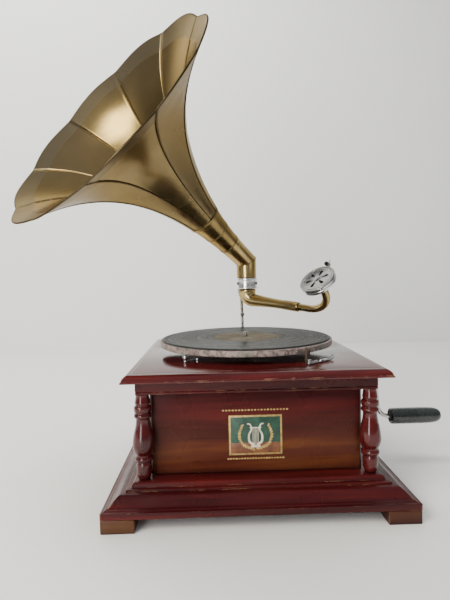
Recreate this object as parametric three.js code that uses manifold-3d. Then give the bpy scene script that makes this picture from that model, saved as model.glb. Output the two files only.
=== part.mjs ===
// Table phonograph with an outside brass horn, hand-wound by a crank on its right side.
// Millimetres, +Z up, front towards -Y. The origin is the middle of the bottom board's
// underside; the feet reach below it.
import * as THREE from 'three';
import { mergeVertices } from 'three/addons/utils/BufferGeometryUtils.js';
import Module from 'manifold-3d';

const wasm = await Module();
wasm.setup();

// ---- driving sizes ----------------------------------------------------------------------
const gap = 0.3;                 // air left between touching pieces
const runGap = 0.5;              // air round a turning shaft

const plinthSpread = 36.5;       // how far the plinth stands out from the frieze
const footSide = 38;
const footHeight = 16;
const plinthBand = 7.5;          // plain band at the foot of the plinth moulding
const ogeeHeight = 12;           // the sloping curve above it
const torusHeight = 7.5;         // small round that the columns stand behind
const plinthWidth = 62;          // how far each plinth rail reaches inwards
const bottomThick = 8;
const boxHalf = 126.5;           // half the width of the box behind the columns
const panelThick = 9;
const wallHeight = 118.5;        // plinth top to the underside of the top board
const friezeOut = 17;            // how far the frieze stands out from the box
const friezeHeight = 16;
const lipOverhang = 14.7;        // how far the top board stands out from the frieze
const topThick = 10.6;
const lipRound = 12;             // reach of the moulded edge
const columnRadius = 12.9;       // fattest part of the turned columns
const columnInset = 7.4;         // column axis inside the frieze's face

const spindleX = -3;             // turntable axis, a little left of the middle
const spindleRadius = 3.1;
const platterRadius = 125.5;
const platterThick = 8;
const platterLift = 11;          // deck to the platter's lower edge
const recordInset = 3;           // platter left showing round the record
const recordThick = 2;
const spindleStand = 7;          // spindle above the record

const pivotX = 12;               // upright axis that the horn and the tonearm share
const pivotInset = 0.2;          // that axis inside the top board's back edge
const armStand = 67.9;           // deck to where the tonearm's axis meets the upright one
const collarRadius = 20;
const collarHeight = 19.5;
const collarDrop = 19;           // tonearm axis to the collar's lower face
const spigotRadius = 14.2;       // pipe ends that turn inside the collar
const pipeWall = 1.4;
const bracketThick = 5;

const elbowRadius = 17.4;        // upright pipe under the horn
const elbowRise = 30.5;          // collar top to the horn's axis
const hornAzimuth = THREE.MathUtils.degToRad(221.8);
const hornTilt = THREE.MathUtils.degToRad(35.1);
const hornLength = 341;          // along the axis, elbow corner to the rim's notches
const hornWall = 1.2;
const goreCount = 10;
const goreBulge = 8.5;           // how far each gore's rim stands out between its notches
const rimRadius = 182;
const flareLength = 116;         // the horn opens slower as this grows
const lipPower = 12;             // how late the lip turns out
const throatLength = 53;         // elbow piece along the horn's axis
const coneEnd = 124;             // where the gores begin

const armAzimuth = THREE.MathUtils.degToRad(-40.3);
const armDip = THREE.MathUtils.degToRad(6.3);
const sleeveEnd = 108;           // tonearm length from the upright axis
const armReach = 127;            // upright axis to the start of the gooseneck's bend
const neckBend = 41;
const neckTurn = THREE.MathUtils.degToRad(102.3);
const neckLift = THREE.MathUtils.degToRad(47.8); // gooseneck thrown back from level
const neckStraight = 10;
const neckRadius = 6;

const soundboxRadius = 28;
const soundboxDepth = 12;
const soundboxWall = 2.6;
const faceThick = 1.8;
const slotCount = 6;
const chuckRadius = 3;
const chuckLength = 9;
const needleLength = 13;
const needleRadius = 0.8;

const crankY = 5;
const crankDrop = 33.5;          // top board's underside to the crank's shaft
const crankClear = 11.5;         // crank's arm outside the plinth
const crankThrow = 63.5;
const crankFlare = 5;            // the arm leans outwards by this much
const crankRadius = 3.1;
const crankBend = 11;
const gripGap = 24.5;            // crank's arm to the grip
const gripLength = 77;
const gripRadius = 12;
const plateRadius = 14;          // round plate where the crank enters the box

const barrelX = 62;
const barrelRadius = 38;
const barrelHeight = 34;
const barrelDrop = 85.5;         // top board's underside to the barrel's floor
const gearModule = 2.75;         // barrel gear and the pinion that it drives
const barrelTeeth = 32;
const pinionTeeth = 8;
const wheelModule = 2.14;        // intermediate wheel and the spindle's pinion
const wheelTeeth = 35;
const spindleTeeth = 7;
const gearThick = 4;
const springTurns = 4;
const windingRadius = 30;
const windingTeeth = 35;
const crankTeeth = 7;
const crankModule = 1.7;
const wormWheelRadius = 16;
const wormWheelTeeth = 20;
const wormRadius = 4;
const governorDrop = 75.5;
const weightCount = 3;
const frameHeight = 99.2;        // of the motor frame, which hangs from the top board
const framePlate = 3;

// ---- sizes that follow from them ---------------------------------------------------------
const plinthTop = plinthBand + ogeeHeight + torusHeight;
const wallTop = plinthTop + wallHeight;
const deckZ = wallTop + topThick;
const friezeHalf = boxHalf + friezeOut;
const baseHalf = friezeHalf + plinthSpread;
const lipHalf = friezeHalf + lipOverhang;
const columnAt = friezeHalf - columnInset;
const platterTop = deckZ + platterLift + platterThick;
const recordTop = platterTop + recordThick;
const recordRadius = platterRadius - recordInset;
const pivotY = lipHalf - pivotInset;
const armAxisZ = deckZ + armStand;
const collarFloor = armAxisZ + collarDrop;
const collarTop = collarFloor + collarHeight;
const hornCorner = new THREE.Vector3(pivotX, pivotY, collarTop + elbowRise);
const hornAxis = new THREE.Vector3(
  Math.cos(hornTilt) * Math.cos(hornAzimuth),
  Math.cos(hornTilt) * Math.sin(hornAzimuth),
  Math.sin(hornTilt));
const armStart = new THREE.Vector3(pivotX, pivotY, armAxisZ);
const armAxis = new THREE.Vector3(
  Math.cos(armDip) * Math.cos(armAzimuth),
  Math.cos(armDip) * Math.sin(armAzimuth),
  -Math.sin(armDip));
const crankZ = wallTop - crankDrop;
const crankOut = baseHalf + crankClear;
const gripStart = crankOut + gripGap;
const frameTop = wallTop - gap;
const frameFloor = frameTop - frameHeight;
const barrelFloor = wallTop - barrelDrop;
const governorZ = wallTop - governorDrop;
const spindleAxis = new THREE.Vector2(spindleX, 0);
const barrelAxis = new THREE.Vector2(barrelX, crankY);

// ---- making and joining closed shapes ----------------------------------------------------
const phonograph = new THREE.Group();

const finishes = {
  mahogany: { color: 0x4a0f12, roughness: 0.25, metalness: 0 },
  deal: { color: 0x8a5a38, roughness: 0.8, metalness: 0 },
  brass: { color: 0xa88443, roughness: 0.3, metalness: 1 },
  chrome: { color: 0xd5d7d8, roughness: 0.15, metalness: 1 },
  steel: { color: 0x8b8d90, roughness: 0.4, metalness: 1 },
  shellac: { color: 0x26282a, roughness: 0.25, metalness: 0 },
  plush: { color: 0x7d6660, roughness: 0.9, metalness: 0 },
  grip: { color: 0x1c2320, roughness: 0.35, metalness: 0 },
  mica: { color: 0x55514a, roughness: 0.3, metalness: 0 },
  iron: { color: 0x3b3d3f, roughness: 0.7, metalness: 0.6 },
};

function addPart(name, geometry, finish) {
  const mesh = new THREE.Mesh(geometry, new THREE.MeshStandardMaterial(finishes[finish]));
  mesh.name = name;
  phonograph.add(mesh);
  return mesh;
}

// A closed surface from points and triangles, turned to face outwards.
function closedSurface(points, triangles) {
  const geometry = new THREE.BufferGeometry().setFromPoints(points);
  let volume = 0;
  for (const [a, b, c] of triangles) {
    volume += points[a].dot(new THREE.Vector3().crossVectors(points[b], points[c]));
  }
  const facing = volume < 0 ? triangles.map(([a, b, c]) => [a, c, b]) : triangles;
  geometry.setIndex(facing.flat());
  return geometry;
}

// Skins a row of rings. A loop joins the last ring to the first; otherwise both ends are
// capped, with the cap's triangles worked out on the flat outline given.
function skin(rings, { loop = false, outline = null } = {}) {
  const size = rings[0].length;
  const triangles = [];
  const last = loop ? rings.length : rings.length - 1;
  for (let i = 0; i < last; i++) {
    const here = i * size;
    const next = ((i + 1) % rings.length) * size;
    for (let j = 0; j < size; j++) {
      const k = (j + 1) % size;
      triangles.push([here + j, here + k, next + k], [here + j, next + k, next + j]);
    }
  }
  if (!loop) {
    const flat = outline
      || rings[0].map((_, j) => new THREE.Vector2(
        Math.cos(j * 2 * Math.PI / size), Math.sin(j * 2 * Math.PI / size)));
    const end = (rings.length - 1) * size;
    for (const [a, b, c] of THREE.ShapeUtils.triangulateShape(flat, [])) {
      triangles.push([a, c, b], [end + a, end + b, end + c]);
    }
  }
  return closedSurface(rings.flat(), triangles);
}

function circleRing(centre, normal, radius, sides) {
  const across = new THREE.Vector3(-normal.y, normal.x, 0);
  if (across.lengthSq() < 1e-6) across.set(1, 0, 0);
  across.normalize();
  const up = new THREE.Vector3().crossVectors(normal, across);
  return Array.from({ length: sides }, (_, j) => {
    const turn = j * 2 * Math.PI / sides;
    return centre.clone()
      .addScaledVector(across, radius * Math.cos(turn))
      .addScaledVector(up, radius * Math.sin(turn));
  });
}

// A tube whose radius changes along a path: stations are { at, along, radius }.
// The first ring's own directions are carried along the path so that it never twists.
function taperedTube(stations, sides, wall = 0) {
  const start = stations[0].along;
  let across = new THREE.Vector3(-start.y, start.x, 0);
  if (across.lengthSq() < 1e-6) across.set(1, 0, 0);
  across.normalize();
  const ringOf = (station, radius) => {
    const { at, side, up } = station;
    return Array.from({ length: sides }, (_, j) => {
      const turn = j * 2 * Math.PI / sides;
      return at.clone()
        .addScaledVector(side, radius * Math.cos(turn))
        .addScaledVector(up, radius * Math.sin(turn));
    });
  };
  for (const station of stations) {
    across = across.clone().addScaledVector(station.along, -across.dot(station.along)).normalize();
    station.side = across;
    station.up = new THREE.Vector3().crossVectors(station.along, across);
  }
  const outside = stations.map((s) => ringOf(s, s.radius));
  if (!wall) return skin(outside);
  const inside = stations.map((s) => ringOf(s, s.radius - wall)).reverse();
  return skin([...outside, ...inside], { loop: true });
}

function asSolid(geometry) {
  const bare = geometry.clone();
  bare.deleteAttribute('normal');
  bare.deleteAttribute('uv');
  const merged = mergeVertices(bare, 1e-4);
  return new wasm.Manifold(new wasm.Mesh({
    numProp: 3,
    vertProperties: new Float32Array(merged.attributes.position.array),
    triVerts: new Uint32Array(merged.index.array),
  }));
}

function asGeometry(solid) {
  const mesh = solid.getMesh();
  const geometry = new THREE.BufferGeometry();
  geometry.setAttribute('position', new THREE.BufferAttribute(mesh.vertProperties, 3));
  geometry.setIndex(new THREE.BufferAttribute(mesh.triVerts, 1));
  return geometry;
}

const joinAll = (...shapes) => asGeometry(
  shapes.map(asSolid).reduce((whole, next) => whole.add(next)));
const cutFrom = (shape, ...cutters) => asGeometry(
  cutters.map(asSolid).reduce((whole, next) => whole.subtract(next), asSolid(shape)));

function box(lowX, lowY, lowZ, highX, highY, highZ) {
  const geometry = new THREE.BoxGeometry(highX - lowX, highY - lowY, highZ - lowZ);
  return geometry.translate((lowX + highX) / 2, (lowY + highY) / 2, (lowZ + highZ) / 2);
}

// An upright rod between two heights.
function rodZ(x, y, low, high, radius, sides = 20) {
  return new THREE.CylinderGeometry(radius, radius, high - low, sides)
    .rotateX(Math.PI / 2).translate(x, y, (low + high) / 2);
}

function rodX(lowX, highX, y, z, radius, sides = 20) {
  return new THREE.CylinderGeometry(radius, radius, highX - lowX, sides)
    .rotateZ(Math.PI / 2).translate((lowX + highX) / 2, y, z);
}

function rodY(x, lowY, highY, z, radius, sides = 16) {
  return new THREE.CylinderGeometry(radius, radius, highY - lowY, sides)
    .translate(x, (lowY + highY) / 2, z);
}

// A turned piece about an upright axis, from [radius, height] pairs.
function turned(profile, sides, closes = false) {
  const points = profile.map(([r, z]) => new THREE.Vector2(r, z));
  if (closes) points.push(points[0].clone());
  let sense = 0;
  points.forEach((p, i) => { sense += p.cross(points[(i + 1) % points.length]); });
  if (sense < 0) points.reverse();
  return new THREE.LatheGeometry(points, sides).rotateX(Math.PI / 2);
}

// Turns a piece made about +Z so that its axis points along a direction.
function aim(geometry, direction, at) {
  const turn = new THREE.Quaternion().setFromUnitVectors(new THREE.Vector3(0, 0, 1), direction);
  return geometry.applyQuaternion(turn).translate(at.x, at.y, at.z);
}

// ---- cabinet -----------------------------------------------------------------------------
const sideNames = ['front', 'right', 'back', 'left'];
const cornerNames = ['front_left', 'front_right', 'back_right', 'back_left'];
const cornerSigns = [[-1, -1], [1, -1], [1, 1], [-1, 1]];

// A rail mitred at both ends, from [distance out from the middle, height] pairs.
function mitredRail(profile, side) {
  const outline = profile.map(([out, z]) => new THREE.Vector2(out, z));
  const endRing = (sign) => profile.map(
    ([out, z]) => new THREE.Vector3(sign * (out - gap), -out, z));
  return skin([endRing(-1), endRing(1)], { outline }).rotateZ(side * Math.PI / 2);
}

// An S-shaped run from one [out, z] point to another, level at both ends.
function ogeeRun(from, to, steps) {
  return Array.from({ length: steps + 1 }, (_, i) => {
    const t = i / steps;
    const ease = t * t * (3 - 2 * t);
    return [from[0] + (to[0] - from[0]) * t, from[1] + (to[1] - from[1]) * ease];
  });
}

function plinthProfile() {
  const quirk = 1.2;
  const ledge = 4.5;
  const ogeeFoot = [baseHalf - ledge, plinthBand + quirk];
  const ogeeHead = [baseHalf - 20, plinthBand + ogeeHeight];
  const filletOut = ogeeHead[0] - 4.5;
  const torusFoot = filletOut + -6;
  const torusZ = plinthTop - torusHeight + 2.4;
  const round = Array.from({ length: 6 }, (_, i) => {
    const turn = i / 5 * Math.PI / 2;
    return [torusFoot - (plinthTop - torusZ) * 0.7 * (1 - Math.cos(turn)),
      torusZ + (plinthTop - torusZ) * Math.sin(turn)];
  });
  return [
    [baseHalf - plinthWidth, 0], [baseHalf, 0], [baseHalf, plinthBand - 0.8],
    [baseHalf - 0.8, plinthBand], [baseHalf - 2.6, plinthBand],
    ...ogeeRun(ogeeFoot, ogeeHead, 8),
    [filletOut, ogeeHead[1]], [filletOut, ogeeHead[1] + 1.6], [filletOut - 0.6, torusZ],
    ...round, [baseHalf - plinthWidth, plinthTop],
  ];
}

function friezeProfile() {
  const low = wallTop - friezeHeight;
  const high = wallTop - gap;
  const inner = boxHalf + gap;
  const groove = low + 2.4;
  return [
    [inner, low], [friezeHalf, low], [friezeHalf, groove], [friezeHalf - 0.9, groove + 0.6],
    [friezeHalf, groove + 1.3], [friezeHalf, high], [inner, high],
  ];
}

function addPlinthAndFrieze() {
  const plinth = plinthProfile();
  const frieze = friezeProfile();
  sideNames.forEach((side, i) => {
    addPart(`plinth_${side}`, mitredRail(plinth, i), 'mahogany');
    addPart(`frieze_${side}`, mitredRail(frieze, i), 'mahogany');
  });
}

function addBottomAndFeet() {
  const half = baseHalf - plinthWidth - gap;
  addPart('bottom_board', box(-half, -half, 0, half, half, bottomThick), 'deal');
  cornerNames.forEach((corner, i) => {
    const [sx, sy] = cornerSigns[i];
    const at = baseHalf - footSide / 2;
    const foot = new THREE.BoxGeometry(footSide, footSide, footHeight - gap);
    foot.translate(sx * at, sy * at, -(footHeight + gap) / 2);
    addPart(`foot_${corner}`, foot, 'mahogany');
  });
}

function addPanels() {
  const low = plinthTop + gap;
  const high = wallTop - gap;
  const inner = boxHalf - panelThick;
  const side = inner - gap;
  const wall = (sign) => (sign < 0 ? [-boxHalf, -inner] : [inner, boxHalf]);
  for (const [name, sign] of [['front', -1], ['back', 1]]) {
    const [lowY, highY] = wall(sign);
    addPart(`panel_${name}`, box(-boxHalf, lowY, low, boxHalf, highY, high), 'mahogany');
  }
  for (const [name, sign] of [['left', -1], ['right', 1]]) {
    const [lowX, highX] = wall(sign);
    const board = box(lowX, -side, low, highX, side, high);
    const hole = rodX(lowX - 1, highX + 1, crankY, crankZ, crankRadius + 2);
    addPart(`panel_${name}`, sign > 0 ? cutFrom(board, hole) : board, 'mahogany');
  }
}

// Turned column: heights are shares of the column, radii shares of its fattest part.
function columnProfile(height) {
  const steps = [
    [0, 0], [0.52, 0], [0.7, 0.06], [0.72, 0.15], [0.63, 0.205], [0.84, 0.235],
    [0.84, 0.265], [0.74, 0.285], [0.96, 0.36], [0.99, 0.43], [0.8, 0.57],
    [0.65, 0.7], [0.8, 0.745], [0.69, 0.79], [0.81, 0.82], [0.79, 0.86],
    [0.65, 0.89], [0.61, 1], [0, 1],
  ];
  return steps.map(([r, h]) => [r * columnRadius, h * height]);
}

function addColumns() {
  const low = plinthTop + gap;
  const height = wallTop - friezeHeight - gap - low;
  cornerNames.forEach((corner, i) => {
    const [sx, sy] = cornerSigns[i];
    const column = turned(columnProfile(height), 12);
    column.translate(sx * columnAt, sy * columnAt, low);
    addPart(`column_${corner}`, column, 'mahogany');
  });
}

function addTopBoard() {
  const low = wallTop;
  const lip = 2.4;
  const step = 1.2;
  const rise = topThick - lip - 0.5;
  const run = lipRound - step;
  const edge = [[lipHalf - 1, low], [lipHalf, low + 0.8], [lipHalf, low + lip],
    [lipHalf - step, low + lip]];
  for (let i = 1; i <= 5; i++) {
    const turn = i / 5 * Math.PI / 2;
    edge.push([lipHalf - step - run * (1 - Math.cos(turn)), low + lip + rise * Math.sin(turn)]);
  }
  edge.push([lipHalf - lipRound - 1, deckZ]);
  const rings = edge.map(([half, z]) => cornerSigns.map(
    ([sx, sy]) => new THREE.Vector3(sx * half, sy * half, z)));
  const through = (x, y, radius) => rodZ(x, y, low - 1, deckZ + 1, radius);
  addPart('top_board', cutFrom(skin(rings),
    through(spindleX, 0, spindleRadius + 2),
    through(...brakePivot(), leverStud + runGap),
    through(...speedPivot(), leverStud + runGap)), 'mahogany');
}

// ---- brake and speed levers --------------------------------------------------------------
const leverStud = 2.5;
const leverFloat = 0.6;          // levers clear the deck by this much

function onDeck(radius, degrees) {
  const turn = THREE.MathUtils.degToRad(degrees);
  return [spindleX + radius * Math.cos(turn), radius * Math.sin(turn)];
}

function brakePivot() {
  return onDeck(platterRadius + 12, -50.5);
}

function speedPivot() {
  return onDeck(platterRadius - 26, -134);
}

function addBrakeLever() {
  const [x, y] = brakePivot();
  const low = deckZ + leverFloat;
  const padLow = platterTop - platterThick + 1;
  const edge = (radius, from, to) => rodZ(spindleX, 0, from, to, radius, 128);
  const bar = joinAll(
    box(-27, -3.5, 0, 19, 3.5, 1.8),
    rodZ(-23.5, 0, 0, 5.5, 2.6, 12),
    box(17, -3.2, 0, 24, -1.2, 3.4).rotateZ(0.35),
    box(17, 0.8, 0, 27, 2.8, 5.4).rotateZ(-0.2),
    rodZ(0, 0, 0, 4.2, 4.6, 14),
    box(-17, 2, 0, -10, 13, padLow - low + 5),
  );
  bar.rotateZ(THREE.MathUtils.degToRad(39.5)).translate(x, y, low);
  const stud = rodZ(x, y, wallTop + gap, low + 1, leverStud, 14);
  const rim = edge(platterRadius + gap + 0.2, padLow - 2, platterTop + 1);
  const under = edge(platterRadius - 3, low - 1, padLow);
  addPart('brake_lever', cutFrom(joinAll(bar, stud), rim, under), 'chrome');
}

function addSpeedLever() {
  const [x, y] = speedPivot();
  const low = deckZ + leverFloat;
  const reach = 22;
  const knobHigh = platterLift - leverFloat - 1.4;
  const shape = joinAll(
    box(0, -2.2, 0, reach, 2.2, 1.8),
    rodZ(0, 0, 0, 3, 4.2, 16),
    rodZ(reach, 0, 0, knobHigh, 3.3, 14),
  );
  shape.rotateZ(THREE.MathUtils.degToRad(-134)).translate(x, y, low);
  const stud = rodZ(x, y, wallTop + gap, low + 1, leverStud, 14);
  addPart('speed_lever', joinAll(shape, stud), 'chrome');
}

// ---- turntable ---------------------------------------------------------------------------
function addPlatterAndRecord() {
  const bore = spindleRadius + gap + 0.2;
  const plate = 3;
  const rimWidth = 4;
  const hub = 12;
  const low = platterTop - platterThick;
  const platter = turned([
    [bore, platterTop], [platterRadius - 0.6, platterTop], [platterRadius, platterTop - 0.6],
    [platterRadius, low + 0.8], [platterRadius - 0.8, low], [platterRadius - rimWidth, low],
    [platterRadius - rimWidth, platterTop - plate], [hub, platterTop - plate],
    [hub, low + 1], [bore, low + 1],
  ], 44, true);
  addPart('platter', platter.translate(spindleX, 0, 0), 'plush');
  const under = platterTop + gap;
  const label = 44;
  const disc = turned([
    [bore, under], [recordRadius - 1, under], [recordRadius, under + 0.7],
    [recordRadius - 0.8, recordTop - 0.1], [recordRadius - 5, recordTop - 0.2],
    [label, recordTop - 0.3], [label - 1, recordTop], [bore, recordTop],
  ], 44, true);
  addPart('record', disc.translate(spindleX, 0, 0), 'shellac');
}

// A toothed wheel about an upright axis. Teeth end just inside the pitch circle, so that
// meshing wheels keep clear of each other at every angle.
function gearWheel(teeth, module, low, high) {
  const pitch = teeth * module / 2 - gap;
  const root = pitch - module * 0.9;
  const shape = new THREE.Shape();
  for (let i = 0; i < teeth; i++) {
    for (const [share, radius] of [[0, root], [0.22, root], [0.36, pitch], [0.86, pitch]]) {
      const turn = (i + share) * 2 * Math.PI / teeth;
      const x = radius * Math.cos(turn);
      const y = radius * Math.sin(turn);
      if (i === 0 && share === 0) shape.moveTo(x, y);
      else shape.lineTo(x, y);
    }
  }
  shape.closePath();
  return new THREE.ExtrudeGeometry(shape, { depth: high - low, bevelEnabled: false })
    .translate(0, 0, low);
}

// Where a wheel meshes with two others: the crossing of two circles.
function meshPoint(first, firstReach, second, secondReach, side) {
  const between = second.clone().sub(first);
  const apart = between.length();
  const along = (firstReach ** 2 - secondReach ** 2 + apart ** 2) / (2 * apart);
  const off = Math.sqrt(firstReach ** 2 - along ** 2);
  between.normalize();
  return first.clone().addScaledVector(between, along)
    .add(new THREE.Vector2(-between.y, between.x).multiplyScalar(off * side));
}

const wheelAxis = meshPoint(
  spindleAxis, (wheelTeeth + spindleTeeth) * wheelModule / 2,
  barrelAxis, (barrelTeeth + pinionTeeth) * gearModule / 2, 1);
const wheelZ = crankZ + 10;      // above the crank's shaft
const barrelGearZ = barrelFloor + barrelHeight;
const arborFoot = frameFloor + framePlate + gap;

function addSpindle() {
  const top = recordTop + spindleStand;
  const low = deckZ + platterLift + 1;
  const shaft = turned([
    [0, arborFoot], [spindleRadius, arborFoot], [spindleRadius, top - 2],
    [spindleRadius - 1.2, top], [0, top],
  ], 20);
  const collar = turned([[0, low - 5], [6, low - 5], [6, low - gap], [0, low - gap]], 20);
  const pinion = gearWheel(spindleTeeth, wheelModule, wheelZ - 2, wheelZ + gearThick + 2);
  const wormWheel = gearWheel(wormWheelTeeth, wormWheelRadius * 2 / wormWheelTeeth,
    governorZ - 3, governorZ + 3);
  addPart('spindle', joinAll(shaft, collar, pinion, wormWheel).translate(spindleX, 0, 0), 'steel');
}

// ---- spring motor ------------------------------------------------------------------------
function addMotorFrame() {
  const edge = 6;
  const lowX = spindleX - 96;
  const highX = barrelX + barrelRadius + 12;
  const lowY = crankY - barrelRadius - 18;
  const highY = wheelAxis.y + wheelTeeth * wheelModule / 2 + 10;
  const plate = (low) => box(lowX, lowY, low, highX, highY, low + framePlate);
  const shapes = [plate(frameTop - framePlate), plate(frameFloor)];
  for (const x of [lowX + edge, highX - edge]) {
    for (const y of [lowY + edge, highY - edge]) {
      shapes.push(rodZ(x, y, frameFloor + 1, frameTop - 1, 4, 12));
    }
  }
  const governorY = governorAxisY();
  for (const x of governorEnds()) {
    shapes.push(box(x - 3, governorY - 6, frameFloor + 1, x + 3, governorY + 6, governorZ + 8));
  }
  const [first, second] = governorEnds();
  const holes = [
    rodZ(spindleX, 0, frameTop - 9, frameTop + 9, spindleRadius + runGap),
    rodZ(wheelAxis.x, wheelAxis.y, frameTop - 9, frameTop + 9, 3 + runGap),
    rodX(first - 9, second + 9, governorY, governorZ, 2 + runGap, 10),
  ];
  addPart('motor_frame', cutFrom(joinAll(...shapes), ...holes), 'iron');
}

function addSpringBarrel() {
  const wall = 2;
  const bore = 4 + runGap;
  const gearLow = barrelGearZ;
  const cup = turned([
    [bore, barrelFloor], [barrelRadius, barrelFloor], [barrelRadius, gearLow + 1],
    [barrelRadius - wall, gearLow + 1], [barrelRadius - wall, barrelFloor + wall],
    [bore, barrelFloor + wall],
  ], 28, true);
  const teeth = gearWheel(barrelTeeth, gearModule, gearLow, gearLow + gearThick);
  const opening = rodZ(0, 0, gearLow - 1, gearLow + gearThick + 1, barrelRadius - wall, 28);
  const barrel = joinAll(cup, cutFrom(teeth, opening));
  addPart('spring_barrel', barrel.translate(barrelX, crankY, 0), 'steel');

  const inner = 4 + runGap + 3;
  const outer = barrelRadius - wall - 2;
  const strip = 0.9;
  const perTurn = 10;
  const edge = (extra) => Array.from({ length: springTurns * perTurn + 1 }, (_, i) => {
    const turn = i * 2 * Math.PI / perTurn;
    const radius = inner + (outer - inner) * i / (springTurns * perTurn) + extra;
    return new THREE.Vector2(radius * Math.cos(turn), radius * Math.sin(turn));
  });
  const shape = new THREE.Shape([...edge(strip), ...edge(0).reverse()]);
  const coil = new THREE.ExtrudeGeometry(shape,
    { depth: barrelHeight - 2 * wall - 2, bevelEnabled: false });
  addPart('mainspring', coil.translate(barrelX, crankY, barrelFloor + wall + 1), 'steel');
}

function addWindingGear() {
  const high = crankZ - crankTeeth * crankModule / 2 - gap;
  const disc = gearWheel(windingTeeth, windingRadius * 2 / windingTeeth, high - gearThick, high);
  const arbor = rodZ(0, 0, arborFoot, high + 1, 4, 20);
  addPart('winding_gear', joinAll(disc, arbor).translate(barrelX, crankY, 0), 'steel');
}

function addIntermediateWheel() {
  const arbor = rodZ(0, 0, arborFoot, frameTop, 3, 16);
  const pinion = gearWheel(pinionTeeth, gearModule, barrelGearZ - 2, barrelGearZ + gearThick + 2);
  const wheel = gearWheel(wheelTeeth, wheelModule, wheelZ, wheelZ + gearThick);
  addPart('intermediate_wheel',
    joinAll(arbor, pinion, wheel).translate(wheelAxis.x, wheelAxis.y, 0), 'steel');
}

function governorAxisY() {
  return -(wormWheelRadius + wormRadius + gap);
}

function governorEnds() {
  return [spindleX - 90, spindleX + 18];
}

function addGovernor() {
  const y = governorAxisY();
  const [first, second] = governorEnds();
  const middle = spindleX - 50;
  const half = 20;
  const collar = 4;
  const stripHalf = 0.4;
  const worm = Array.from({ length: 4 }, (_, i) => rodX(
    spindleX - 10 + i * 5, spindleX - 7 + i * 5, y, governorZ, wormRadius - gap, 10));
  addPart('governor_shaft', joinAll(
    rodX(first - 4, second + 4, y, governorZ, 2, 10),
    rodX(middle - half - 3, middle - half + 3, y, governorZ, collar, 10),
    rodX(middle + half - 3, middle + half + 3, y, governorZ, collar, 10),
    rodX(first + 7, first + 9, y, governorZ, 13, 20),
    ...worm), 'steel');
  for (let i = 0; i < weightCount; i++) {
    const rise = 8;
    const foot = collar + gap + stripHalf;
    const bow = Array.from({ length: 9 }, (_, k) => {
      const share = k / 8;
      const up = foot + (rise + collar - foot) * Math.sin(Math.PI * share) ** 0.8;
      return [[-1, -1], [1, -1], [1, 1], [-1, 1]].map(([sy, sz]) => new THREE.Vector3(
        middle + half * (2 * share - 1), sy * 1.6, up + sz * stripHalf));
    });
    const spring = skin(bow);
    const weight = new THREE.CylinderGeometry(4.2, 4.2, 8, 14).rotateZ(Math.PI / 2)
      .translate(middle, 0, collar + rise);
    const whole = joinAll(spring, weight).rotateX(i * 2 * Math.PI / weightCount);
    addPart(`governor_weight_${i + 1}`, whole.translate(0, y, governorZ), 'steel');
  }
}

// ---- crank -------------------------------------------------------------------------------
// The crank's rod: in through the box wall, down the arm, out into the grip.
function crankStations(innerEnd, outerEnd) {
  const low = crankZ - crankThrow;
  const top = new THREE.Vector3(crankOut, crankY, crankZ);
  const foot = new THREE.Vector3(crankOut + crankFlare, crankY, low);
  const inwards = new THREE.Vector3(-1, 0, 0);
  const upArm = top.clone().sub(foot).normalize();
  const bends = [
    [top, inwards, upArm.clone().negate()], [foot, upArm, inwards.clone().negate()],
  ];
  const stations = [];
  const put = (at, along) => stations.push({ at, along, radius: crankRadius });
  put(new THREE.Vector3(innerEnd, crankY, crankZ), new THREE.Vector3(1, 0, 0));
  for (const [corner, before, after] of bends) {
    const curve = new THREE.QuadraticBezierCurve3(
      corner.clone().addScaledVector(before, crankBend), corner,
      corner.clone().addScaledVector(after, crankBend));
    for (let i = 0; i <= 5; i++) put(curve.getPoint(i / 5), curve.getTangent(i / 5));
  }
  put(new THREE.Vector3(outerEnd, crankY, low), new THREE.Vector3(1, 0, 0));
  return stations;
}

function addCrank() {
  const innerEnd = barrelX + windingRadius - 8;
  const gripEnd = gripStart + gripLength;
  const low = crankZ - crankThrow;
  const rod = taperedTube(crankStations(innerEnd, gripEnd - 12), 10);
  const pinion = gearWheel(crankTeeth, crankModule, 0, 8).rotateY(Math.PI / 2)
    .translate(innerEnd, crankY, crankZ);
  addPart('crank', joinAll(rod, pinion), 'chrome');

  const bore = crankRadius + runGap;
  const grip = turned([
    [bore, 0], [8.8, 0], [9.6, 1.5], [11, 5], [gripRadius - 0.2, 14], [gripRadius, 40],
    [gripRadius - 0.1, 60], [11.2, 68], [9.2, 73], [6, 76], [0, gripLength],
    [0, gripLength - 8], [bore, gripLength - 10],
  ], 16, true);
  grip.rotateY(Math.PI / 2).translate(gripStart, crankY, low);
  addPart('crank_grip', grip, 'grip');

  const plate = turned([
    [crankRadius + 1, 0], [plateRadius, 0], [plateRadius, 1.2], [plateRadius - 1.6, 2.4],
    [crankRadius + 1, 2.8],
  ], 20, true);
  plate.rotateY(Math.PI / 2).translate(boxHalf + gap, crankY, crankZ);
  addPart('crank_plate', plate, 'chrome');
}

// ---- horn --------------------------------------------------------------------------------
// Radius of the horn at a distance along its axis: a catenary, with a lip turned out at the rim.
const rimTurn = rimRadius - elbowRadius * Math.cosh(hornLength / flareLength);

function flareRadius(distance) {
  return elbowRadius * Math.cosh(distance / flareLength)
    + rimTurn * Math.pow(distance / hornLength, lipPower);
}

const hornAcross = new THREE.Vector3(-hornAxis.y, hornAxis.x, 0).normalize();
const hornUp = new THREE.Vector3().crossVectors(hornAxis, hornAcross);

function hornPoint(distance, radius, turn) {
  return hornCorner.clone()
    .addScaledVector(hornAxis, distance)
    .addScaledVector(hornAcross, radius * Math.cos(turn))
    .addScaledVector(hornUp, radius * Math.sin(turn));
}

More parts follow.
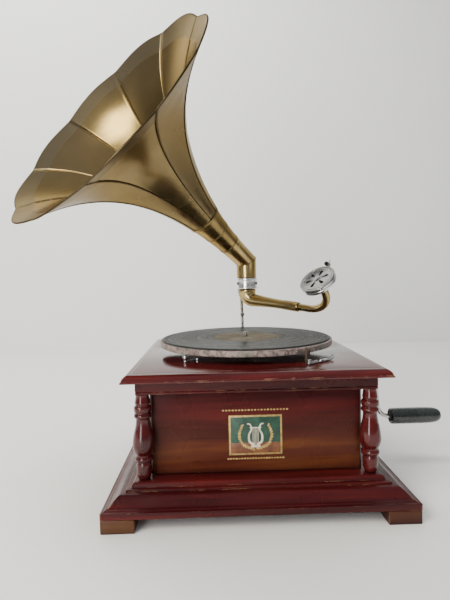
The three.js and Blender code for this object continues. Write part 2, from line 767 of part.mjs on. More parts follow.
// One gore of the bell: a sheet between two seams, scalloped at the rim.
function goreShape(index) {
  const across = 4;
  const stations = [coneEnd, 160, 198, 232, 262, 288, 309, 326, hornLength];
  const seam = Math.PI / goreCount;
  const start = coneEnd + gap;
  const sheet = (inset) => stations.map((station, i) => {
    const distance = i === 0 ? start : station;
    const grown = (distance - coneEnd) / (hornLength - coneEnd);
    const middle = flareRadius(distance) - inset;
    const edgeGap = gap * 0.6 / middle;
    return Array.from({ length: across + 1 }, (_, j) => {
      const share = j / across;
      const turn = seam * (2 * index + 1) + edgeGap + share * (2 * seam - 2 * edgeGap);
      const hump = Math.sin(Math.PI * share) ** 0.72;
      const rise = goreBulge * hump * grown ** 7;
      return hornPoint(distance + rise * 0.42, middle + rise, turn);
    });
  });
  return patch(sheet(0), sheet(hornWall));
}

// A closed sheet between an outer and an inner grid of points.
function patch(outer, inner) {
  const rows = outer.length;
  const columns = outer[0].length;
  const size = rows * columns;
  const at = (i, j) => i * columns + j;
  const triangles = [];
  for (let i = 0; i < rows - 1; i++) {
    for (let j = 0; j < columns - 1; j++) {
      const [a, b, c, d] = [at(i, j), at(i, j + 1), at(i + 1, j + 1), at(i + 1, j)];
      triangles.push([a, b, c], [a, c, d]);
      triangles.push([size + a, size + c, size + b], [size + a, size + d, size + c]);
    }
  }
  const edge = [];
  for (let j = 0; j < columns - 1; j++) edge.push(at(0, j));
  for (let i = 0; i < rows - 1; i++) edge.push(at(i, columns - 1));
  for (let j = columns - 1; j > 0; j--) edge.push(at(rows - 1, j));
  for (let i = rows - 1; i > 0; i--) edge.push(at(i, 0));
  edge.forEach((here, k) => {
    const next = edge[(k + 1) % edge.length];
    triangles.push([next, here, size + here], [next, size + here, size + next]);
  });
  return closedSurface([...outer.flat(), ...inner.flat()], triangles);
}

function addHorn() {
  for (let i = 0; i < goreCount; i++) {
    addPart(`horn_gore_${i + 1}`, goreShape(i), 'brass');
  }
  const station = (distance) => ({
    at: hornPoint(distance, 0, 0), along: hornAxis, radius: flareRadius(distance),
  });
  const cone = [throatLength + gap, 76, 100, coneEnd].map(station);
  addPart('horn_cone', taperedTube(cone, 20, hornWall), 'brass');

  const mitre = hornAxis.clone().add(new THREE.Vector3(0, 0, 1)).normalize();
  const upright = new THREE.Vector3(0, 0, 1);
  const pipe = (extra) => {
    const across = new THREE.Vector3(-mitre.y, mitre.x, 0).normalize();
    const onMitre = Array.from({ length: 20 }, (_, j) => {
      const turn = j * 2 * Math.PI / 20;
      const side = across.clone().multiplyScalar(Math.cos(turn));
      const rise = new THREE.Vector3().crossVectors(upright, across).multiplyScalar(Math.sin(turn));
      const point = side.add(rise).multiplyScalar(elbowRadius - extra);
      point.z = -(point.x * mitre.x + point.y * mitre.y) / mitre.z;
      return hornCorner.clone().add(point);
    });
    const lower = (radius, z) => circleRing(
      new THREE.Vector3(pivotX, pivotY, z), upright, radius, 20);
    const align = (ring) => {
      // start every ring beside the mitre's first point
      const first = onMitre[0].clone().sub(hornCorner).setZ(0).normalize();
      const turn = Math.atan2(first.y, first.x);
      return ring.map((_, j) => {
        const angle = turn + j * 2 * Math.PI / 20;
        const radius = Math.hypot(ring[0].x - pivotX, ring[0].y - pivotY);
        return new THREE.Vector3(pivotX + radius * Math.cos(angle),
          pivotY + radius * Math.sin(angle), ring[0].z);
      });
    };
    const spigot = spigotRadius - extra;
    const rings = [
      align(lower(spigot, collarFloor + collarHeight / 2 + gap)),
      align(lower(spigot, collarTop + gap)),
      align(lower(elbowRadius - extra, collarTop + gap + (extra ? 2 : 0.01))),
      onMitre,
    ];
    for (const distance of [26, throatLength]) {
      rings.push(circleRing(hornPoint(distance, 0, 0), hornAxis,
        flareRadius(distance) - extra, 20));
    }
    return rings;
  };
  const outer = pipe(0);
  const inner = pipe(pipeWall).reverse();
  addPart('horn_elbow', skin([...outer, ...inner], { loop: true }), 'brass');
}

// ---- bracket, tonearm and gooseneck ------------------------------------------------------
function addBracket() {
  const ringX = pivotX;
  const lowZ = wallTop - friezeHeight - 24;
  const armX = pivotX - 9;
  const collar = turned([
    [spigotRadius + runGap, 0], [collarRadius - 0.6, 0], [collarRadius, 1],
    [collarRadius, 3.6], [collarRadius - 1.2, 4.4], [collarRadius - 1.2, collarHeight - 4.4],
    [collarRadius, collarHeight - 3.6], [collarRadius, collarHeight - 1],
    [collarRadius - 0.6, collarHeight], [spigotRadius + runGap, collarHeight],
  ], 24, true).translate(ringX, pivotY, collarFloor);
  const back = friezeHalf + gap;
  const outside = lipHalf + 3;
  const reach = pivotY + collarRadius + 9;
  const side = new THREE.Shape();
  side.moveTo(back, lowZ);
  side.lineTo(back + 6, lowZ);
  side.lineTo(back + 6, wallTop - 16);
  side.quadraticCurveTo(outside + 8, wallTop - 10, outside + 8, deckZ + 4);
  side.quadraticCurveTo(outside + 8, deckZ + 30, reach, collarFloor - 12);
  side.lineTo(reach, collarTop - 3);
  side.lineTo(pivotY + collarRadius - 4, collarTop - 3);
  side.lineTo(pivotY + collarRadius - 4, collarFloor + 3);
  side.lineTo(reach - 8, collarFloor - 1);
  side.quadraticCurveTo(outside, deckZ + 34, outside, deckZ + 6);
  side.lineTo(outside, wallTop - 5);
  side.quadraticCurveTo(outside, wallTop - 9, back, wallTop - 9);
  side.closePath();
  const web = new THREE.ExtrudeGeometry(side,
    { depth: bracketThick, bevelEnabled: false, curveSegments: 4 });
  web.rotateX(Math.PI / 2).rotateZ(Math.PI / 2).translate(armX - bracketThick / 2, 0, 0);
  const foot = box(armX - 16, back, lowZ - 2, armX + 16, back + 5, wallTop - 7);
  const bore = rodZ(ringX, pivotY, collarFloor - 1, collarTop + 1, spigotRadius + runGap, 24);
  const screwHole = (x) => rodY(x, back - 1, back + 7, lowZ + 6, 2);
  addPart('arm_bracket', cutFrom(joinAll(collar, web, foot), bore,
    screwHole(armX - 11), screwHole(armX + 11)), 'steel');
}

function addTonearm() {
  const bend = 17;
  const turnAngle = Math.PI / 2 - armDip;
  const down = new THREE.Vector3(0, 0, -1);
  const level = new THREE.Vector3(Math.cos(armAzimuth), Math.sin(armAzimuth), 0);
  const tangent = bend * Math.tan(turnAngle / 2);
  const bendTop = armStart.clone().setZ(armAxisZ + tangent);
  const stations = [
    { at: armStart.clone().setZ(collarFloor + collarHeight / 2 - gap), along: down,
      radius: spigotRadius },
    { at: armStart.clone().setZ(collarFloor - gap), along: down, radius: spigotRadius },
    { at: armStart.clone().setZ(collarFloor - gap - 0.01), along: down,
      radius: spigotRadius + 2 },
  ];
  const steps = 5;
  for (let i = 0; i <= steps; i++) {
    const turn = i / steps * turnAngle;
    const along = down.clone().multiplyScalar(Math.cos(turn))
      .addScaledVector(level, Math.sin(turn));
    const at = bendTop.clone().addScaledVector(level, bend * (1 - Math.cos(turn)))
      .addScaledVector(down, bend * Math.sin(turn));
    stations.push({ at, along, radius: spigotRadius + 1.4 - 4.6 * i / steps });
  }
  const beyond = (distance, radius) => stations.push(
    { at: armStart.clone().addScaledVector(armAxis, distance), along: armAxis, radius });
  beyond(34, 9.6);
  beyond(62, 8.2);
  beyond(sleeveEnd - 6, neckRadius + 1.5);
  beyond(sleeveEnd - 5.5, neckRadius + 2.4);
  beyond(sleeveEnd, neckRadius + 2.4);
  addPart('tonearm', taperedTube(stations, 14, pipeWall), 'brass');
}

// The soundbox hangs on these: where the gooseneck ends and which way it faces.
const armLevel = new THREE.Vector3(Math.sin(armAzimuth), -Math.cos(armAzimuth), 0);
const armRise = new THREE.Vector3().crossVectors(armAxis, armLevel).negate();
if (armRise.z < 0) armRise.negate();
const neckSide = armLevel.clone().multiplyScalar(Math.cos(neckLift))
  .addScaledVector(armRise, Math.sin(neckLift));
const neckStart = armStart.clone().addScaledVector(armAxis, armReach);
const neckCentre = neckStart.clone().addScaledVector(neckSide, neckBend);
const faceAxis = armAxis.clone().multiplyScalar(Math.cos(neckTurn))
  .addScaledVector(neckSide, Math.sin(neckTurn));
const neckEnd = neckCentre.clone()
  .addScaledVector(neckSide, -neckBend * Math.cos(neckTurn))
  .addScaledVector(armAxis, neckBend * Math.sin(neckTurn));
const boxBack = neckEnd.clone().addScaledVector(faceAxis, neckStraight);

function addGooseneck() {
  const stations = [];
  const along = (distance, radius = neckRadius) => stations.push(
    { at: armStart.clone().addScaledVector(armAxis, distance), along: armAxis, radius });
  along(sleeveEnd + gap);
  along(armReach - 8);
  const steps = 9;
  for (let i = 0; i <= steps; i++) {
    const turn = i / steps * neckTurn;
    const way = armAxis.clone().multiplyScalar(Math.cos(turn))
      .addScaledVector(neckSide, Math.sin(turn));
    const at = neckCentre.clone().addScaledVector(neckSide, -neckBend * Math.cos(turn))
      .addScaledVector(armAxis, neckBend * Math.sin(turn));
    stations.push({ at, along: way, radius: neckRadius });
  }
  stations.push({ at: boxBack.clone().addScaledVector(faceAxis, -gap),
    along: faceAxis, radius: neckRadius });
  addPart('gooseneck', taperedTube(stations, 12, pipeWall), 'brass');
}

// ---- soundbox ----------------------------------------------------------------------------
// The soundbox is made facing +Z with its needle towards +Y, then turned into place.
const needleWay = new THREE.Vector3(0, 0, 1).addScaledVector(faceAxis, -faceAxis.z).normalize();
const boxTurn = new THREE.Matrix4().makeBasis(
  new THREE.Vector3().crossVectors(needleWay, faceAxis), needleWay, faceAxis)
  .setPosition(boxBack);

function placeOnArm(geometry) {
  return geometry.applyMatrix4(boxTurn);
}

function addSoundbox() {
  const inner = soundboxRadius - soundboxWall;
  const mouth = neckRadius - pipeWall;
  const shell = turned([
    [mouth, 0], [neckRadius + 3, 0], [neckRadius + 3.4, 1.6], [soundboxRadius - 5, 2.4],
    [soundboxRadius - 1, 4], [soundboxRadius, 5.4], [soundboxRadius, soundboxDepth],
    [inner, soundboxDepth], [inner, 5.4], [mouth, 4.4],
  ], 20, true);
  addPart('soundbox_shell', placeOnArm(shell), 'chrome');

  const mica = new THREE.CylinderGeometry(inner - gap * 2, inner - gap * 2, 0.8, 20)
    .rotateX(Math.PI / 2).translate(0, 0, soundboxDepth - 2.4);
  addPart('diaphragm', placeOnArm(mica), 'mica');

  const face = new THREE.Shape(Array.from({ length: 30 }, (_, i) => new THREE.Vector2(
    soundboxRadius * Math.cos(i * Math.PI / 15), soundboxRadius * Math.sin(i * Math.PI / 15))));
  for (let i = 0; i < slotCount; i++) {
    face.holes.push(slotPath(Math.PI / 2 + i * 2 * Math.PI / slotCount));
  }
  const grille = new THREE.ExtrudeGeometry(face, { depth: faceThick, bevelEnabled: false });
  grille.translate(0, 0, soundboxDepth + gap);
  addPart('soundbox_face', placeOnArm(grille), 'chrome');
}

// A petal-shaped slot, narrow towards the middle of the face.
function slotPath(turn) {
  const near = 7.5;
  const far = 18.5;
  const width = 4.2;
  const outline = Array.from({ length: 8 }, (_, i) => {
    const a = i * 2 * Math.PI / 8;
    const out = (near + far) / 2 + (far - near) / 2 * Math.cos(a);
    const side = width * Math.sin(a) * (0.62 + 0.38 * Math.cos(a));
    return new THREE.Vector2(out * Math.cos(turn) - side * Math.sin(turn),
      out * Math.sin(turn) + side * Math.cos(turn));
  });
  return new THREE.Path(outline.reverse());
}

function addNeedle() {
  const seat = soundboxDepth / 2 + 2;
  const start = soundboxRadius + gap;
  const lean = 0.35;
  const chuck = new THREE.CylinderGeometry(chuckRadius, chuckRadius, chuckLength, 16)
    .translate(0, chuckLength / 2, 0);
  const bore = new THREE.CylinderGeometry(needleRadius + gap, needleRadius + gap, chuckLength, 10)
    .translate(0, chuckLength, 0);
  const hole = new THREE.CylinderGeometry(1.4, 1.4, chuckRadius + 1, 12).rotateX(Math.PI / 2)
    .translate(0, chuckLength * 0.62, (chuckRadius + 1) / 2 + 0.8);
  const place = (geometry) => placeOnArm(geometry.rotateX(lean).translate(0, start + 1, seat));
  addPart('needle_chuck', place(cutFrom(chuck, bore, hole)), 'chrome');

  const needle = turned([
    [0, 0], [needleRadius, 0], [needleRadius, needleLength - 4], [0.12, needleLength],
    [0, needleLength]], 10).rotateX(-Math.PI / 2);
  needle.translate(0, chuckLength / 2 + gap, 0);
  addPart('needle', place(needle), 'steel');

  const low = chuckRadius + gap;
  const screw = joinAll(
    turned([[0, low], [3, low], [3.2, low + 0.6], [3.2, low + 3.6], [2.6, low + 4.4],
      [0, low + 4.6]], 16),
    rodZ(0, 0, needleRadius + gap + 0.6, low + 1, 1.1, 12));
  screw.translate(0, chuckLength * 0.62, 0);
  addPart('needle_screw', place(screw), 'iron');
}

addPlinthAndFrieze();
addBottomAndFeet();
addPanels();
addColumns();
addTopBoard();
addBrakeLever();
addSpeedLever();
addPlatterAndRecord();
addSpindle();
addMotorFrame();
addSpringBarrel();
addWindingGear();
addIntermediateWheel();
addGovernor();
addCrank();
addHorn();
addBracket();
addTonearm();
addGooseneck();
addSoundbox();
addNeedle();

export default phonograph;
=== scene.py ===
import math

import bmesh
import bpy
from mathutils import Matrix, Vector


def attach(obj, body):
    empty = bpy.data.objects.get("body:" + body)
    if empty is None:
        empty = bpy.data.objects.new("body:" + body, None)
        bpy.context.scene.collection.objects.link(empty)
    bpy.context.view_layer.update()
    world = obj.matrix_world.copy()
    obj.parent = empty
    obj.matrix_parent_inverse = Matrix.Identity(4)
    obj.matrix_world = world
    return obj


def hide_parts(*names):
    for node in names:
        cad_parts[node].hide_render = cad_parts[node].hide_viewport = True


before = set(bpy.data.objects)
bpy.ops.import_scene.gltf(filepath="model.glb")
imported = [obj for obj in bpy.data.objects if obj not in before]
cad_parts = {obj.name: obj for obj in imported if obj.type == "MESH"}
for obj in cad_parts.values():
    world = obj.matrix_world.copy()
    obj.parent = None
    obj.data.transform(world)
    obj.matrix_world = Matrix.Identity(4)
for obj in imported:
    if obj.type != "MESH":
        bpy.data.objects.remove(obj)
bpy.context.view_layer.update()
mm = 0.001  # shapes are worked out in millimetres and scaled once, in addPiece
up = Vector((0, 0, 1))


def linked(name, data):  # a new object in the scene
    obj = bpy.data.objects.new(name, data)
    bpy.context.scene.collection.objects.link(obj)
    return obj


def resharpen(obj, sharp):  # smooth shading with crisp edges past an angle
    obj.data.polygons.foreach_set("use_smooth", [True] * len(obj.data.polygons))
    obj.data.set_sharp_from_angle(angle=math.radians(sharp))


def addPiece(name, verts, faces, bevel=0.0, sharp=38, segments=3):  # millimetres in, an object out
    mesh = bpy.data.meshes.new(name)
    mesh.from_pydata([tuple(Vector(p) * mm) for p in verts], [], faces)
    bm = bmesh.new()
    bm.from_mesh(mesh)
    bmesh.ops.remove_doubles(bm, verts=bm.verts, dist=2e-6)
    bmesh.ops.recalc_face_normals(bm, faces=bm.faces)
    if bevel:
        edges = [e for e in bm.edges if e.is_manifold and e.calc_face_angle(0) > 0.5]
        bmesh.ops.bevel(bm, geom=edges, offset=bevel * mm, segments=segments, profile=0.5,
                        affect="EDGES", clamp_overlap=True)
    bm.to_mesh(mesh)
    bm.free()
    obj = linked(name, mesh)
    resharpen(obj, sharp)
    return obj


def settle(obj, body, slot, materials, *nodes):  # gives a piece its finish and body, and hides the CAD nodes it stands for
    if not isinstance(materials, (list, tuple)):
        materials = [materials]
    if not obj.data.materials:
        for material in materials:
            obj.data.materials.append(material)
    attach(obj, body)
    if nodes:
        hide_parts(*nodes)
    return obj


# a lathe: pairs of radius and height turned round an axis, closed when the profile is a ring
def turned(profile, centre=(0, 0, 0), axis=(0, 0, 1), sides=64, closed=False):
    axis = Vector(axis).normalized()
    side = axis.orthogonal().normalized()
    other = axis.cross(side)
    verts, rings, faces = [], [], []
    for radius, height in profile:
        middle = Vector(centre) + axis * height
        if radius < 1e-4:
            rings.append([len(verts)])
            verts.append(middle)
            continue
        rings.append(list(range(len(verts), len(verts) + sides)))
        for k in range(sides):
            a = 2 * math.pi * k / sides
            verts.append(middle + side * radius * math.cos(a) + other * radius * math.sin(a))
    for a, b in zip(rings, rings[1:] + (rings[:1] if closed else [])):
        for k in range(sides):
            n = (k + 1) % sides
            if len(a) == 1 and len(b) > 1:
                faces.append((a[0], b[n], b[k]))
            elif len(b) == 1 and len(a) > 1:
                faces.append((a[k], a[n], b[0]))
            elif len(a) > 1:
                faces.append((a[k], a[n], b[n], b[k]))
    return verts, faces


def tube(points, radii, sides=28, wall=0.0):  # swept round section, with a bore if wall is set
    points = [Vector(p) for p in points]
    if not isinstance(radii, (list, tuple)):
        radii = [radii] * len(points)
    ways = []
    for i in range(len(points)):
        a, b = points[max(i - 1, 0)], points[min(i + 1, len(points) - 1)]
        ways.append((b - a).normalized())
    side = ways[0].orthogonal().normalized()
    frames = []
    for way in ways:
        side = (side - way * side.dot(way)).normalized()
        frames.append((side, way.cross(side)))
    def ring(i, radius):
        s, t = frames[i]
        return [points[i] + s * radius * math.cos(2 * math.pi * k / sides)
                + t * radius * math.sin(2 * math.pi * k / sides) for k in range(sides)]
    rings = [ring(i, r) for i, r in enumerate(radii)]
    if wall:
        rings += [ring(i, radii[i] - wall) for i in reversed(range(len(radii)))]
    verts = [p for r in rings for p in r]
    faces = []
    last = len(rings) if wall else len(rings) - 1
    for i in range(last):
        a, b = i * sides, (i + 1) % len(rings) * sides
        for k in range(sides):
            n = (k + 1) % sides
            faces.append((a + k, a + n, b + n, b + k))
    if not wall:
        faces.append(tuple(reversed(range(sides))))
        faces.append(tuple(range((len(rings) - 1) * sides, len(rings) * sides)))
    return verts, faces


def prism(outline, low, high):  # a flat outline in x, y pushed up between two heights
    count = len(outline)
    verts = [(x, y, low) for x, y in outline] + [(x, y, high) for x, y in outline]
    faces = [tuple(range(count)), tuple(range(count, 2 * count))]
    faces += [(k, (k + 1) % count, count + (k + 1) % count, count + k) for k in range(count)]
    return verts, faces


def block(low, high):  # a box between two corners
    (a, b, c), (d, e, f) = low, high
    return prism([(a, b), (d, b), (d, e), (a, e)], c, f)


def joined(*shapes):  # several shapes as one
    verts, faces = [], []
    for v, f in shapes:
        base = len(verts)
        verts += list(v)
        faces += [tuple(base + i for i in face) for face in f]
    return verts, faces


def moved(shape, matrix):
    return [matrix @ Vector(p) for p in shape[0]], shape[1]


def softened(points, radius, closed=True):  # rounds the corners of an outline
    flattest = math.radians(160)
    result = []
    count = len(points)
    for i, p in enumerate(points):
        if not closed and i in (0, count - 1):
            result.append(p)
            continue
        here = Vector(p)
        before, after = Vector(points[i - 1]), Vector(points[(i + 1) % count])
        one, two = before - here, after - here
        if one.length < 1e-6 or two.length < 1e-6 or one.angle(two) > flattest:
            result.append(p)
            continue
        reach = min(radius, one.length * 0.45, two.length * 0.45)
        start, end = here + one.normalized() * reach, here + two.normalized() * reach
        for t in (0, 0.25, 0.5, 0.75, 1):
            q = start * (1 - t) ** 2 + here * 2 * t * (1 - t) + end * t * t
            result.append((q.x, q.y))
    return result


def bezier(a, b, c, steps=10):  # a curve from a to c that leans on b
    a, b, c = Vector(a), Vector(b), Vector(c)
    return [a * (1 - t) ** 2 + b * 2 * t * (1 - t) + c * t * t
            for t in (i / steps for i in range(steps + 1))]


def rounded(points, perSpan=6):  # a smooth line through points
    points = [Vector(p) for p in points]
    line = []
    for i in range(len(points) - 1):
        p0, p1 = points[max(i - 1, 0)], points[i]
        p2, p3 = points[i + 1], points[min(i + 2, len(points) - 1)]
        for k in range(perSpan):
            t = k / perSpan
            line.append(0.5 * (2 * p1 + (p2 - p0) * t + (2 * p0 - 5 * p1 + 4 * p2 - p3) * t * t
                               + (3 * p1 - p0 - 3 * p2 + p3) * t ** 3))
    return line + [points[-1]]


def applied(obj, modifier):  # leaves the modifier's result as a plain mesh
    bpy.context.view_layer.update()
    graph = bpy.context.evaluated_depsgraph_get()
    mesh = bpy.data.meshes.new_from_object(obj.evaluated_get(graph))
    obj.modifiers.remove(modifier)
    obj.data = mesh
    return obj


def cut(obj, *shapes):  # takes closed shapes away from a piece
    cutter = addPiece("cutter", *joined(*shapes))
    modifier = obj.modifiers.new("cut", "BOOLEAN")
    modifier.operation, modifier.solver, modifier.object = "DIFFERENCE", "EXACT", cutter
    applied(obj, modifier)
    bpy.data.objects.remove(cutter)
    return obj


def setDown(obj, place):  # puts a place in millimetres into the mesh itself
    metres = place.copy()
    metres.translation *= mm
    obj.data.transform(metres)


def rod(start, end, radius, sides=24):  # a straight round bar
    return tube([start, end], radius, sides)


def newTree(name, inputs):  # a geometry tree with named inputs
    tree = bpy.data.node_groups.new(name, "GeometryNodeTree")
    face = tree.interface
    face.new_socket(name="Geometry", in_out="INPUT", socket_type="NodeSocketGeometry")
    sockets = {}
    for label, kind in inputs:
        sockets[label] = face.new_socket(name=label, in_out="INPUT", socket_type=kind).identifier
    face.new_socket(name="Geometry", in_out="OUTPUT", socket_type="NodeSocketGeometry")
    start, end = tree.nodes.new("NodeGroupInput"), tree.nodes.new("NodeGroupOutput")
    return tree, start, end, sockets


def runTree(obj, tree, sockets, values):  # runs a tree on an object and keeps the result
    modifier = obj.modifiers.new("nodes", "NODES")
    modifier.node_group = tree
    for label, value in values.items():
        modifier[sockets[label]] = value
    return applied(obj, modifier)


def roundTree():  # a line swept into a bead and repeated round the Z axis
    tree, start, end, sockets = newTree("Beads round an axis", [
        ("Copies", "NodeSocketInt"), ("Bead radius", "NodeSocketFloat"),
        ("Bead sides", "NodeSocketInt"), ("Finish", "NodeSocketMaterial")])
    new, link = tree.nodes.new, tree.links.new
    curve = new("GeometryNodeMeshToCurve")
    circle = new("GeometryNodeCurvePrimitiveCircle")
    sweep = new("GeometryNodeCurveToMesh")
    sweep.inputs["Fill Caps"].default_value = True
    points = new("GeometryNodeMeshLine")
    points.inputs["Offset"].default_value = (0, 0, 0)
    index = new("GeometryNodeInputIndex")
    divide, times = new("ShaderNodeMath"), new("ShaderNodeMath")
    divide.operation, times.operation = "DIVIDE", "MULTIPLY"
    times.inputs[1].default_value = 2 * math.pi
    turn = new("ShaderNodeCombineXYZ")
    place = new("GeometryNodeInstanceOnPoints")
    real = new("GeometryNodeRealizeInstances")
    smooth = new("GeometryNodeSetShadeSmooth")
    finish = new("GeometryNodeSetMaterial")
    link(start.outputs["Geometry"], curve.inputs[0])
    link(start.outputs["Bead radius"], circle.inputs["Radius"])
    link(start.outputs["Bead sides"], circle.inputs["Resolution"])
    link(curve.outputs[0], sweep.inputs["Curve"])
    link(circle.outputs[0], sweep.inputs["Profile Curve"])
    link(start.outputs["Copies"], points.inputs["Count"])
    link(index.outputs[0], divide.inputs[0])
    link(start.outputs["Copies"], divide.inputs[1])
    link(divide.outputs[0], times.inputs[0])
    link(times.outputs[0], turn.inputs["Z"])
    link(points.outputs[0], place.inputs["Points"])
    link(sweep.outputs[0], place.inputs["Instance"])
    link(turn.outputs[0], place.inputs["Rotation"])
    link(place.outputs[0], real.inputs[0])
    link(real.outputs[0], smooth.inputs[0])
    link(smooth.outputs[0], finish.inputs["Geometry"])
    link(start.outputs["Finish"], finish.inputs["Material"])
    link(finish.outputs[0], end.inputs[0])
    return tree, sockets


def screwTree():  # slotted screw heads on the points given, standing on +Z
    tree, start, end, sockets = newTree("Slotted screws", [
        ("Head radius", "NodeSocketFloat"), ("Head height", "NodeSocketFloat"),
        ("Slot width", "NodeSocketFloat"), ("Finish", "NodeSocketMaterial")])
    new, link = tree.nodes.new, tree.links.new
    head, slotBox, slotSize = (new("GeometryNodeMeshCylinder"), new("GeometryNodeMeshCube"),
                               new("ShaderNodeCombineXYZ"))
    head.inputs["Vertices"].default_value = 24
    widen = new("ShaderNodeMath")
    widen.operation = "MULTIPLY"
    widen.inputs[1].default_value = 2.2
    lift = new("GeometryNodeTransform")
    half = new("ShaderNodeMath")
    half.operation = "MULTIPLY"
    half.inputs[1].default_value = 0.55
    liftBy = new("ShaderNodeCombineXYZ")
    carve = new("GeometryNodeMeshBoolean")
    carve.operation = "DIFFERENCE"
    place = new("GeometryNodeInstanceOnPoints")
    attribute = new("GeometryNodeInputNamedAttribute")
    attribute.data_type = "FLOAT_VECTOR"
    attribute.inputs["Name"].default_value = "turn"
    real = new("GeometryNodeRealizeInstances")
    finish = new("GeometryNodeSetMaterial")
    link(start.outputs["Head radius"], head.inputs["Radius"])
    link(start.outputs["Head height"], head.inputs["Depth"])
    link(start.outputs["Head radius"], widen.inputs[0])
    link(widen.outputs[0], slotSize.inputs["X"])
    link(start.outputs["Slot width"], slotSize.inputs["Y"])
    link(start.outputs["Head height"], slotSize.inputs["Z"])
    link(slotSize.outputs[0], slotBox.inputs["Size"])
    link(start.outputs["Head height"], half.inputs[0])
    link(half.outputs[0], liftBy.inputs["Z"])
    link(slotBox.outputs[0], lift.inputs["Geometry"])
    link(liftBy.outputs[0], lift.inputs["Translation"])
    link(head.outputs["Mesh"], carve.inputs["Mesh 1"])
    link(lift.outputs[0], carve.inputs["Mesh 2"])
    link(start.outputs["Geometry"], place.inputs["Points"])
    link(carve.outputs[0], place.inputs["Instance"])
    link(attribute.outputs[0], place.inputs["Rotation"])
    link(place.outputs[0], real.inputs[0])
    link(real.outputs[0], finish.inputs["Geometry"])
    link(start.outputs["Finish"], finish.inputs["Material"])
    link(finish.outputs[0], end.inputs[0])
    return tree, sockets


def motifTree():  # small flat leaves or lozenges along a line, in the x, z plane
    tree, start, end, sockets = newTree("Motifs on a line", [
        ("Motifs", "NodeSocketInt"), ("Length", "NodeSocketFloat"),
        ("Width", "NodeSocketFloat"), ("Lean", "NodeSocketFloat"),
        ("Thickness", "NodeSocketFloat"), ("Seed", "NodeSocketInt"),
        ("Finish", "NodeSocketMaterial")])
    new, link = tree.nodes.new, tree.links.new
    curve = new("GeometryNodeMeshToCurve")
    points = new("GeometryNodeCurveToPoints")
    leaf = new("GeometryNodeMeshUVSphere")
    leaf.inputs["Segments"].default_value = 4
    leaf.inputs["Rings"].default_value = 4
    leaf.inputs["Radius"].default_value = 0.5
    size = new("ShaderNodeCombineXYZ")
    shape = new("GeometryNodeTransform")
    lean = new("ShaderNodeCombineXYZ")
    place = new("GeometryNodeInstanceOnPoints")
    align = new("FunctionNodeAlignRotationToVector")
    align.axis = "Z"
    spread = new("FunctionNodeRandomValue")
    spread.inputs[2].default_value, spread.inputs[3].default_value = 0.85, 1.1
    real = new("GeometryNodeRealizeInstances")
    finish = new("GeometryNodeSetMaterial")
    link(start.outputs["Geometry"], curve.inputs[0])
    link(curve.outputs[0], points.inputs[0])
    link(start.outputs["Motifs"], points.inputs["Count"])
    link(start.outputs["Width"], size.inputs["X"])
    link(start.outputs["Thickness"], size.inputs["Y"])
    link(start.outputs["Length"], size.inputs["Z"])
    link(leaf.outputs["Mesh"], shape.inputs["Geometry"])
    link(size.outputs[0], shape.inputs["Scale"])
    link(start.outputs["Lean"], lean.inputs["Y"])
    link(lean.outputs[0], shape.inputs["Rotation"])
    link(points.outputs["Points"], place.inputs["Points"])
    link(shape.outputs[0], place.inputs["Instance"])
    link(points.outputs["Tangent"], align.inputs["Vector"])
    link(align.outputs[0], place.inputs["Rotation"])
    link(start.outputs["Seed"], spread.inputs["Seed"])
    link(spread.outputs[1], place.inputs["Scale"])
    link(place.outputs[0], real.inputs[0])
    link(real.outputs[0], finish.inputs["Geometry"])
    link(start.outputs["Finish"], finish.inputs["Material"])
    link(finish.outputs[0], end.inputs[0])
    return tree, sockets


def lineObject(name, points):  # a bare line for the trees to work on
    mesh = bpy.data.meshes.new(name)
    mesh.from_pydata([tuple(Vector(p) * mm) for p in points],
                     [(i, i + 1) for i in range(len(points) - 1)], [])
    return linked(name, mesh)


def newFinish(name, metallic=0.0, coat=0.0, coatRoughness=0.05):
    material = bpy.data.materials.new(name)
    material.use_nodes = True
    shader = material.node_tree.nodes["Principled BSDF"]
    shader.inputs["Metallic"].default_value = metallic
    shader.inputs["Coat Weight"].default_value = coat
    shader.inputs["Coat Roughness"].default_value = coatRoughness
    return material, shader


